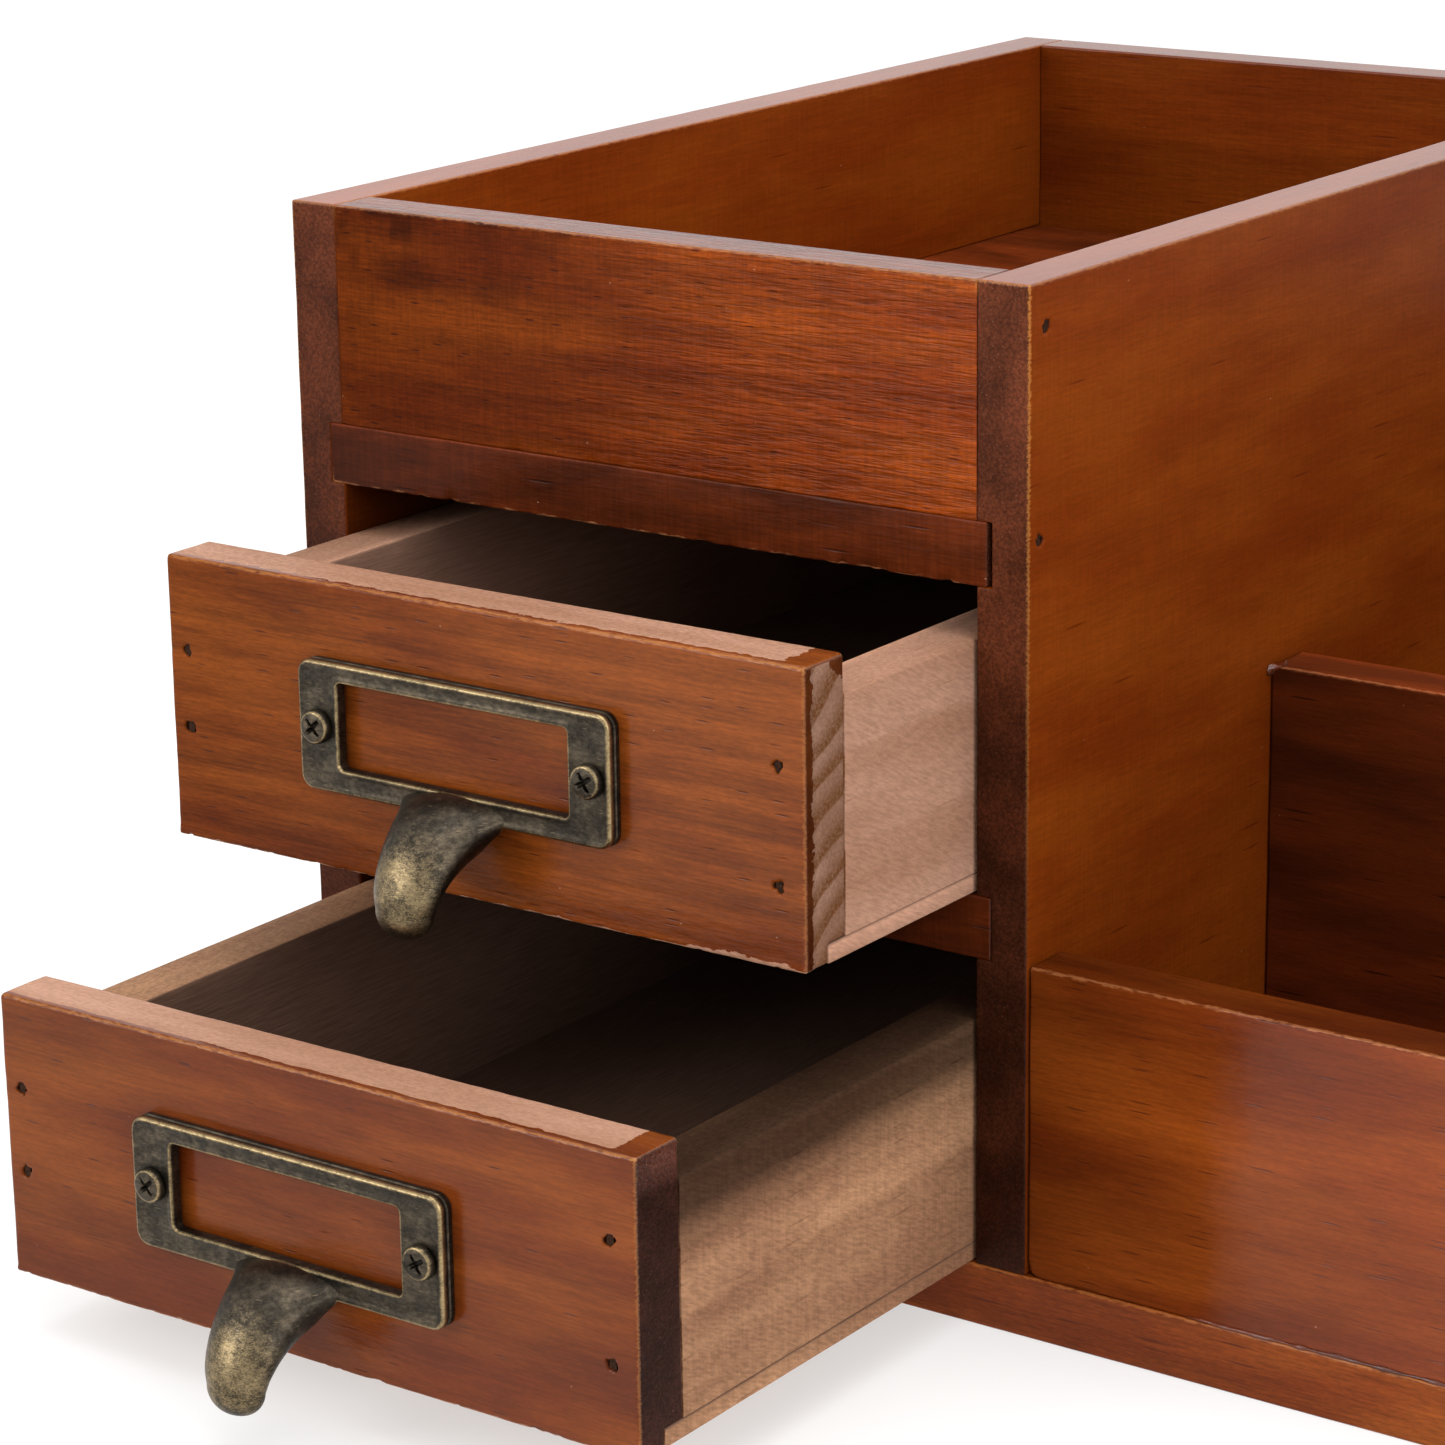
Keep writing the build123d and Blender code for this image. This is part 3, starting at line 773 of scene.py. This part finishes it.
def glue_bead(name, start, stop, radius, tone, material):
    """A thin uneven line of varnish and glue that has dried along a joint."""
    turns = [2 * math.pi * turn / BEAD_ROUND for turn in range(BEAD_ROUND)]
    loops = []
    for step in range(BEAD_SECTIONS + 1):
        share = step / BEAD_SECTIONS
        place = np.array(start) + (np.array(stop) - np.array(start)) * share
        size = radius * (0.75 + 0.75 * noise.noise((place[0] / 2.1, place[1], 4.0)))
        size *= min(1.0, 30 * share * (1 - share) + 0.05)
        lift = 0.25 * noise.noise((place[0] / 5.0, 3.0, place[2]))
        y, z = place[1], place[2] + lift
        loops.append([(place[0], y - size * math.cos(turn), z + size * math.sin(turn)) for turn in turns])
    places, faces = loft(loops, capped=True)
    attributes = {"edge": 9.0, "pit": 0.0, **PLAIN_BOARD, "gloss": 1.0, "tone": tone}
    declare(mesh_object(name, places, faces, material, attributes), "case", "varnished_wood")


def build_glue(material):
    """Dried glue: a bead under the low panel and a nub beside the divider."""
    low, high = box_of("low_front_panel")
    bead_z = low[2] + 0.15
    glue_bead("low_panel_glue_bead", (BEAD_START, low[1], bead_z), (high[0] - 0.5, low[1], bead_z), 0.42,
              1.2, material)
    low, high = box_of("mid_divider")
    start = (low[0] - 0.2, low[1] - 0.3, high[2] - 0.8)
    stop = (low[0] + 2.4, low[1] + 0.9, high[2] + 0.5)
    glue_bead("divider_glue_nub", start, stop, 1.1, 2.4, material)


# --- Drawers ---
# How far the varnish runs round a front's ends, and round their upper back corner
VARNISH_WRAP = 2.1
VARNISH_CORNER = 4.0
# Values of a mesh's "raw": far on the varnished side, on the bare side
VARNISHED = -9.0
BARE = 3.0
# How much darker the upper part of each drawer's left side is
LEFT_UPPER_DARKENING = 0.1


def drawer_front_finish(bare_end, left_gloss, right_gloss):
    """Varnish on the face and a little way round the ends, bare wood behind it."""
    def finish(places, low, high):
        from_left, depth, from_bottom = (places - low).T
        from_right, _, from_top = (high - places).T
        width, thickness, _ = high - low
        on_right = (from_right < 0.5) & (from_top > 0.5) & (depth > 0.5)
        on_left = (from_left < 0.5) & (from_top > 0.5)
        raw = depth - 1.5
        corner = np.hypot(from_top, thickness - depth)
        wrapped = np.minimum(depth - VARNISH_WRAP, corner - VARNISH_CORNER)
        raw = np.where(on_left, depth - VARNISH_WRAP, raw)
        raw = np.where(on_right, wrapped if bare_end else VARNISHED, raw)
        on_top = (from_top < 0.5) & (from_right < 8)
        raw = np.where(on_top, np.minimum(raw, from_right - 5.0), raw)
        raw = np.where(depth > thickness - 0.5, BARE, raw)
        raw = np.where(from_bottom < 0.3, np.maximum(raw, 0.35 + 0.5 * depth), raw)
        chipped = 0.1 + 0.6 * bare_end * ramp(from_right, 1, 3) * ramp(from_right, 23, 20)
        raw = np.maximum(raw, np.where(depth < 0.5, chipped - from_bottom, VARNISHED))
        up = ramp(from_top, 0.5, 0) * (depth > 0.5)
        along = ramp(from_left, 0, 0.6 * width)
        face_tone = 0.88 + 0.12 * along + 0.17 * up * (1 - along)
        tone = np.where(on_right, 0.45 + 0.2 * ramp(depth, 1.5, 3.0), face_tone)
        shine = left_gloss + (right_gloss - left_gloss) * ramp(from_left, 10, 0.8 * width)
        shine = shine + (0.8 - shine) * up
        if not bare_end:
            dull = ramp(from_top, 4.4, 5.6)
            tone = np.where(on_right, 1.4 - 0.95 * dull + 0.2 * ramp(from_top, 12, 20), tone)
            shine = np.where(on_right, 0.45 - 0.4 * dull, shine)
        wear = 0.1 + 0.45 * along_edge(from_top, depth) + 0.2 * along_edge(from_right, depth)
        return {"raw": raw, "gloss": shine, "tone": tone, "wear": wear}
    return finish


def painted_shade_inside(axis, outer_is_low, upper_darkening=0.0, lift=0.0):
    """Bare wood whose inner face carries painted shade, less of it by the lift, and whose upper part may be
    darker.
    """
    def finish(places, low, high):
        from_outside = (places - low if outer_is_low else high - places)[:, axis]
        inside = from_outside - (high[axis] - low[axis] - 0.25)
        upper = ramp(places[:, 2], high[2] - 14, high[2] - 6)
        # Darker along the upper part, and a little more on the top face
        tone = 1 - upper_darkening * (upper + 0.1 * facing_up(places, high))
        tone = tone * (1 + lift * ramp(inside, -0.3, 0.3))
        return {"inside": inside, "raw": 5.0, "gloss": 0.2, "tone": tone}
    return finish


def build_drawer(name, front_material, raw_material, bare_end, gloss, upper_darkening, lift):
    """A drawer's boards. Gloss is the front's at its left and right; upper_darkening is how much darker the
    right side's upper part is.
    """
    low, high = box_of(name + "_front")
    bottom_low, bottom_high = box_of(name + "_bottom")
    boxes = [(low, moved_to(high, y=bottom_low[1])), (moved_to(low, z=bottom_high[2]), high)]

    def front_chip(places):
        _, y, z = places.T
        near_low = ramp(z, low[2] + 2, low[2]) * (y < low[1] + 2)
        near_top = ramp(z, high[2] - 2, high[2]) * (y < low[1] + 2)
        rough = np.clip(drift(places, 1.5, 5) * 1.7 - 0.3, 0, 1)
        return -0.35 * near_low + rough * (0.9 * near_low + 0.35 * near_top)

    board(name + "_front", front_material, "drawer_front_wood", body=name, boxes=boxes, radius=0.8,
          spacing=(0.8, 2.5, 2.5), marks=brad_marks(name + "_front_brads", 1, -1, low[1]),
          chip=front_chip, finish=drawer_front_finish(bare_end, *gloss), wander=0.25)

    def raw_board(part, **settings):
        board(name + part, raw_material, "raw_drawer_wood", body=name, **settings)

    for part, outward in (("_left_side", -1), ("_right_side", 1)):
        side_low, side_high = box_of(name + part)
        on_left = outward < 0
        outer = side_low[0] if on_left else side_high[0]
        raw_board(part, radius=0.2, marks=brad_marks(name + "_back_brads", 0, outward, outer),
                  chip=lambda places, top=side_high[2]: 0.3 * ramp(places[:, 2], top - 1, top),
                  finish=painted_shade_inside(0, on_left, LEFT_UPPER_DARKENING if on_left else upper_darkening, lift))
    raw_board("_back", finish=painted_shade_inside(1, False, lift=lift))
    raw_board("_bottom", radius=0.2, marks=brad_marks(name + "_bottom_brads", 2, -1, bottom_low[2]),
              finish=painted_shade_inside(2, True, lift=lift))


# --- Label pulls ---
def rounded_loop(width, height, corner, middle_z, y, per_side=10, per_corner=7):
    """A rounded rectangle facing the front, as a loop of places."""
    loop = []
    for turn, (sx, sz) in enumerate(((1, 1), (-1, 1), (-1, -1), (1, -1))):
        cx, cz = sx * (width / 2 - corner), sz * (height / 2 - corner)
        for step in range(per_corner):
            angle = math.radians(90 * turn + 90 * step / (per_corner - 1))
            loop.append((cx + corner * math.cos(angle), y, middle_z + cz + corner * math.sin(angle)))
        nx, nz = ((-1, 1), (-1, -1), (1, -1), (1, 1))[turn]
        end = (nx * (width / 2 - corner), nz * (height / 2 - corner))
        start = loop[-1]
        angle = math.radians(90 * (turn + 1))
        along_x = end[0] + corner * math.cos(angle) - start[0]
        along_z = middle_z + end[1] + corner * math.sin(angle) - start[2]
        for step in range(1, per_side):
            share = step / per_side
            loop.append((start[0] + along_x * share, y, start[2] + along_z * share))
    return loop


def loft(loops, closed_along=False, capped=False):
    """Joins loops of the same length by quads."""
    count = len(loops[0])
    places = [place for loop in loops for place in loop]
    faces = []
    pairs = list(zip(range(len(loops)), range(1, len(loops))))
    if closed_along:
        pairs.append((len(loops) - 1, 0))
    for a, b in pairs:
        for step in range(count):
            after = (step + 1) % count
            faces.append((a * count + step, a * count + after, b * count + after, b * count + step))
    if capped:
        faces.append(tuple(range(count))[::-1])
        faces.append(tuple((len(loops) - 1) * count + step for step in range(count)))
    return places, faces


# The frame's outer side from its seat to its face: how far in, and the place along Y
PLATE_SIDE = [(0.15, 0.0), (0.0, -0.2), (0.0, -1.05), (0.25, -1.25), (0.25, -1.5), (0.0, -1.7),
              (0.0, -2.4), (0.1, -2.7), (0.3, -2.93), (0.55, -3.0), (0.85, -2.97), (1.15, -2.86),
              (1.5, -2.8)]
# The window's side from the face to the seat: how far out, and the place along Y
WINDOW_SIDE = [(1.35, -2.8), (1.0, -2.86), (0.75, -2.97), (0.5, -3.0), (0.25, -2.93), (0.08, -2.7),
               (0.0, -2.4), (0.0, -0.9), (1.0, -0.9), (1.0, 0.0)]
PLATE_HEIGHT = 22.4
PLATE_CORNER = 2.6
WINDOW_SIZE = (47.6, 14.8)
WINDOW_CORNER = 0.9
WINDOW_RISE = 0.5
# Just beyond the frame's face, where the hook's own surface starts
FACE_Y = -3.05
# How far out, how far down, lean from upright, width and thickness
HOOK_ARM = [(1.2, 9.0, 0, 25.2, 3.6), (2.2, 9.7, 6, 22.4, 5.4), (5.5, 11.2, 22, 18.4, 7.6),
            (9.5, 13.8, 42, 15.9, 8.7), (13.0, 17.4, 60, 14.0, 8.4), (15.0, 21.0, 76, 12.4, 7.8),
            (15.6, 23.6, 84, 11.0, 7.0)]
HOOK_TIP = 4.4
# Along the hook, the crease beside its crown fades out between these shares of its sections
CREASE_END = 0.62
# How much deeper, as a share of its half thickness, the neck's underside is than the tip's
NECK_DEPTH = 1.0


def hook_sections():
    """The finger hook's sections, smoothed between the chosen ones, then its round tip."""
    arm = np.array(HOOK_ARM, float)
    sections = []
    for step in range(len(arm) - 1):
        before = arm[max(step - 1, 0)]
        after = arm[min(step + 2, len(arm) - 1)]
        for share in np.linspace(0, 1, 7)[:-1]:
            a, b = arm[step], arm[step + 1]
            t2, t3 = share**2, share**3
            tangent_a, tangent_b = (b - before) / 2, (after - a) / 2
            sections.append((2 * t3 - 3 * t2 + 1) * a + (t3 - 2 * t2 + share) * tangent_a
                            + (-2 * t3 + 3 * t2) * b + (t3 - t2) * tangent_b)
    out, drop, lean, width, thickness = arm[-1]
    for angle in np.linspace(0, 87, 14):
        along = math.sin(math.radians(angle)) * HOOK_TIP
        narrow = math.cos(math.radians(angle)) ** 0.9
        turn = math.radians(lean)
        sections.append(np.array([out + along * math.cos(turn), drop + along * math.sin(turn), lean,
                                  width * narrow, thickness * narrow]))
    return sections


def hook_loop(section, crease, half=26):
    """One section: a round crown over an underside that is oval, or creased and flat towards the root."""
    out, drop, lean, width, thickness = section
    turn = math.radians(lean)
    crown = np.array([0, -math.sin(turn), math.cos(turn)])
    loop = []
    for step in range(2 * half):
        angle = math.pi * step / half
        side, rise = math.cos(angle), math.sin(angle)
        if rise >= 0:
            rise = rise ** (1 + 0.35 * crease)
        else:
            side = math.copysign(abs(side) ** (1 - 0.6 * crease), side)
            rise *= 0.86 + NECK_DEPTH * crease * min(1.0, out / 6)
        place = np.array([0, -out, -drop]) + crown * (rise * thickness / 2)
        place[0] = side * width / 2
        loop.append(tuple(place))
    return loop


def hook_loops():
    """The hook's loops from root to tip, creased at the root only."""
    sections = hook_sections()
    shares = np.arange(len(sections)) / (len(sections) - 1)
    return [hook_loop(section, max(0.0, 1 - share / CREASE_END)) for section, share in zip(sections, shares)]


def build_pull(name, material):
    """The label frame and finger hook of one drawer, as one casting."""
    low, high = box_of(name + "_label_pull")
    width = high[0] - low[0]
    middle = np.array([(low[0] + high[0]) / 2, high[1], high[2] - PLATE_HEIGHT / 2])
    loops = []
    for inset, y in PLATE_SIDE:
        corner = PLATE_CORNER - min(inset, 1.0)
        loops.append(rounded_loop(width - 2 * inset, PLATE_HEIGHT - 2 * inset, corner, 0, y))
    for outset, y in WINDOW_SIDE:
        size = [side + 2 * outset for side in WINDOW_SIZE]
        loops.append(rounded_loop(*size, WINDOW_CORNER + 0.8 * outset, WINDOW_RISE, y))
    plate = mesh_from(name + "_plate", *loft(loops, closed_along=True))
    hook = mesh_from(name + "_hook", *loft(hook_loops(), capped=True))
    joined = plate.modifiers.new("join", "BOOLEAN")
    joined.operation = "UNION"
    joined.solver = "EXACT"
    joined.object = hook
    evaluated = plate.evaluated_get(bpy.context.evaluated_depsgraph_get())
    mesh = bpy.data.meshes.new_from_object(evaluated)
    places = np.array([vertex.co for vertex in mesh.vertices]) / MM
    faces = [list(polygon.vertices) for polygon in mesh.polygons]
    for helper in (plate, hook):
        bpy.data.objects.remove(helper)
    out = -places[:, 1]
    not_hook = -out > FACE_Y
    outer = rounded_distance(places, width, PLATE_HEIGHT, PLATE_CORNER, 0)
    window = rounded_distance(places, *WINDOW_SIZE, WINDOW_CORNER, WINDOW_RISE)
    on_face = np.clip((out - 2.2) / 0.5, 0, 1) * not_hook
    rim = np.maximum(ramp(np.abs(outer + 0.3), 0.6, 0.1), ramp(np.abs(window - 0.25), 0.55, 0.1))
    on_side = ramp(outer, -0.25, -0.1) * ramp(out, 1.6, 2.2) * not_hook
    # The hook's crown turns golden towards its tip: partly worn brass, partly painted highlight
    crown = 0.28 * ramp(out, 11, 17) * ramp(places[:, 2], -31, -25) + 0.14 * ramp(out, 4, 10)
    rubbed_and_highlight = np.maximum(np.maximum(rim * on_face * 0.55, 0.6 * on_side), crown)
    grime = np.clip(1 - np.abs(out - 1.4) / 0.35, 0, 1) * (outer > -0.6)
    attributes = {"rubbed_and_highlight": rubbed_and_highlight, "grime": grime}
    piece = mesh_object(name + "_label_pull_finished", places + middle, faces, material, attributes, 36)
    declare(piece, name, "antique_brass", name + "_label_pull")


def rounded_distance(places, width, height, corner, middle_z):
    """Signed distance in the frame's plane from a rounded rectangle: below 0 inside it."""
    x = np.abs(places[:, 0]) - (width / 2 - corner)
    z = np.abs(places[:, 2] - middle_z) - (height / 2 - corner)
    outside = np.hypot(np.maximum(x, 0), np.maximum(z, 0))
    return outside + np.minimum(np.maximum(x, z), 0) - corner


def turn_outward(mesh, closing=False):
    """Turns a mesh's faces outward, once its doubled places are joined and its holes filled if asked."""
    work = bmesh.new()
    work.from_mesh(mesh)
    if closing:
        bmesh.ops.remove_doubles(work, verts=work.verts, dist=1e-7)
        bmesh.ops.holes_fill(work, edges=work.edges)
    bmesh.ops.recalc_face_normals(work, faces=work.faces)
    work.to_mesh(mesh)
    work.free()


def mesh_from(name, places, faces):
    """A plain object for mesh work, its faces turned outward."""
    helper = mesh_object(name, places, faces, None, {})
    turn_outward(helper.data)
    return helper


SCREW_HEIGHT = 1.7
SCREW_RIM = 0.3
# How far the dome falls from the middle to the rim, and again over the rim
DOME_FALL = 0.5
RECESS_DEPTH = 1.2
RECESS_REACH = 1.8
RECESS_HALF_WIDTH = 0.5
SCREW_TURNS = (0.75, 0.55)
SCREW_RINGS = 20
SCREW_SIDES = 96


def screw_head(centre, radius, turn):
    """A pan head facing the front, with a deep cross recess, as places and faces."""
    count = SCREW_SIDES
    radii = [radius * (step / SCREW_RINGS) ** 0.85 for step in range(SCREW_RINGS + 1)]
    places, faces = [], []
    for ring in radii:
        for step in range(count):
            angle = 2 * math.pi * step / count
            x, z = ring * math.cos(angle), ring * math.sin(angle)
            height = SCREW_HEIGHT - DOME_FALL * (ring / radius) ** 2
            u = abs(x * math.cos(turn) + z * math.sin(turn))
            v = abs(-x * math.sin(turn) + z * math.cos(turn))
            arm, reach = min(u, v), max(u, v)
            into_slot = min((RECESS_HALF_WIDTH - 0.1 * reach - arm) / 0.14, (RECESS_REACH - reach) / 0.5)
            height -= RECESS_DEPTH * min(1.0, max(0.0, into_slot))
            over = ring - (radius - SCREW_RIM)
            if over > 0:
                height -= DOME_FALL * (over / SCREW_RIM) ** 2
            places.append((centre[0] + x, centre[1] - height, centre[2] + z))
    for depth in (0.3, 0.0):
        for step in range(count):
            angle = 2 * math.pi * step / count
            x, z = radius * math.cos(angle), radius * math.sin(angle)
            places.append((centre[0] + x, centre[1] - depth, centre[2] + z))
    for ring in range(SCREW_RINGS + 2):
        for step in range(count):
            after = (step + 1) % count
            a, b = ring * count, (ring + 1) * count
            faces.append((a + step, b + step, b + after, a + after))
    return places, faces


def build_screws(name, material):
    """Both screws' heads, in place of the CAD screws."""
    low, high = box_of(name + "_label_screws")
    radius = (high[2] - low[2]) / 2
    seat_y = low[1] + SCREW_HEIGHT
    middle_z = (low[2] + high[2]) / 2
    centres = (low[0] + radius, high[0] - radius)
    places, faces = [], []
    for x, turn in zip(centres, SCREW_TURNS):
        new_places, new_faces = screw_head((x, seat_y, middle_z), radius, turn)
        faces += [tuple(index + len(places) for index in face) for face in new_faces]
        places += new_places
    places = np.array(places)
    across = np.min([np.hypot(places[:, 0] - x, places[:, 2] - middle_z) for x in centres], axis=0)
    height = seat_y - places[:, 1]
    # Bright rim and dome top: partly worn brass, partly painted highlight
    rubbed_and_highlight = 0.5 * ramp(np.abs(across - radius + 0.3), 0.4, 0.1) + 0.25 * ramp(height, 1.3, 1.6)
    grime = ramp(height, 1.2, 0.6) * (across < radius - 0.6)
    piece = mesh_object(name + "_label_screws_finished", places, faces, material,
                        {"rubbed_and_highlight": rubbed_and_highlight, "grime": grime})
    turn_outward(piece.data, closing=True)
    declare(piece, name, "antique_brass", name + "_label_screws")


def build_drawers():
    """Both drawers with their fittings."""
    upper_front = wood("upper_front_wood", "x", CHERRY, 7, (-227, 215), spacing=5.5, warp=11.0,
                       rings=0.18, bare_rings=0.2, pores=0.2, pore_size=(7.0, 0.7, 0.7), streaks=0.45,
                       fibres=0.17, end_share=0.35, raggedness=3.0)
    lower_front = wood("lower_front_wood", "x", CHERRY, 8, (-40, 80), spacing=8.0, bare_rings=0.1,
                       pores=0.1, pore_size=(7.0, 0.7, 0.7), fibres=0.12)
    upper_raw = wood("upper_raw_wood", "y", AMBER, 9, (-60, 60), spacing=14.0, pores=0.1, fibres=0.15)
    lower_raw = wood("lower_raw_wood", "y", AMBER, 10, (-50, 20), bare=TAWNY, bare_ripple=0.05,
                     spacing=9.0, pores=0.3, fibres=0.2)
    brass = antique_brass()
    build_drawer("upper_drawer", upper_front, upper_raw, bare_end=True, gloss=(0.08, 0.35), upper_darkening=0.0,
                 lift=0.9)
    build_drawer("lower_drawer", lower_front, lower_raw, bare_end=False, gloss=(0.32, 0.38),
                 upper_darkening=0.78, lift=0.0)
    for name in ("upper_drawer", "lower_drawer"):
        build_pull(name, brass)
        build_screws(name, brass)


def finish_brads():
    """The brads keep their CAD shapes, in dark steel."""
    steel = brad_steel()
    for node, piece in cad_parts.items():
        if node.endswith("_brads"):
            piece.data.materials.clear()
            piece.data.materials.append(steel)


# --- Studio ---
CAMERA_PLACE = (0.335376, -0.702433, 0.309214)
CAMERA_AZIMUTH = 35.959
CAMERA_ELEVATION = 16.433
CAMERA_ROLL = -0.846
CAMERA_LENS = 110.753
FLOOR_SIZE = 14.0
FLOOR_GLOW = 0.52
WHITE = (1, 1, 1, 1)
SURROUND_STRENGTH = 1.0
# Each lamp's name, place, aim, width and power
LAMPS = [
    ("overhead", (0.15, -0.15, 1.5), (0, -0.05, 0.05), 1.3, 14),
    ("front_left", (-0.95, -1.45, 0.75), (-0.05, -0.1, 0.08), 0.9, 12),
    ("right", (1.45, -0.75, 0.75), (0, 0, 0.08), 0.9, 9),
]


def add_camera():
    """The camera, turned by azimuth, elevation and roll in degrees."""
    azimuth, elevation, roll = map(math.radians, (CAMERA_AZIMUTH, CAMERA_ELEVATION, CAMERA_ROLL))
    level = math.cos(elevation)
    back = Vector((math.sin(azimuth) * level, -math.cos(azimuth) * level, math.sin(elevation)))
    right = (-back).cross(Vector((0, 0, 1))).normalized()
    up = right.cross(-back)
    turned_right = right * math.cos(roll) + up * math.sin(roll)
    turned_up = -right * math.sin(roll) + up * math.cos(roll)
    data = bpy.data.cameras.new("camera")
    data.sensor_width = 36.0
    data.lens = CAMERA_LENS
    data.clip_start = 0.01
    data.clip_end = 50.0
    camera = new_object("camera", data)
    turn = Matrix((turned_right, turned_up, back)).transposed().to_4x4()
    camera.matrix_world = Matrix.Translation(CAMERA_PLACE) @ turn
    bpy.context.scene.camera = camera


def add_light(name, place, aim, size, power):
    """A square soft light."""
    data = bpy.data.lights.new(name, "AREA")
    data.size = size
    data.energy = power
    lamp = new_object(name, data)
    lamp.location = place
    lamp.rotation_euler = (Vector(aim) - Vector(place)).to_track_quat("-Z", "Y").to_euler()


def add_floor():
    """A plain pale floor, lit from within like a light table, so that shadows on it stay faint."""
    work = bmesh.new()
    bmesh.ops.create_grid(work, x_segments=8, y_segments=8, size=FLOOR_SIZE / 2)
    mesh = bpy.data.meshes.new("floor")
    work.to_mesh(mesh)
    work.free()
    shader = Shader("pale_floor")
    soft = shader.noise(shader.add("TexCoord", {}, "Object"), (3, 3, 3))
    mesh.materials.append(shader.finish({
        "Base Color": shader.blend(soft, (0.44, 0.44, 0.44, 1), (0.47, 0.47, 0.47, 1)),
        "Roughness": 0.9,
        "Specular IOR Level": 0.0,
        "Emission Color": WHITE,
        "Emission Strength": FLOOR_GLOW,
    }))
    new_object("floor", mesh)


def add_studio():
    """Floor, white surround and soft lamps."""
    add_floor()
    world = bpy.data.worlds.new("studio")
    world.use_nodes = True
    background = world.node_tree.nodes["Background"]
    background.inputs["Color"].default_value = WHITE
    background.inputs["Strength"].default_value = SURROUND_STRENGTH
    bpy.context.scene.world = world
    bpy.context.scene.view_settings.view_transform = "Standard"
    for lamp in LAMPS:
        add_light(*lamp)


build_case()
build_drawers()
finish_brads()
add_studio()
add_camera()
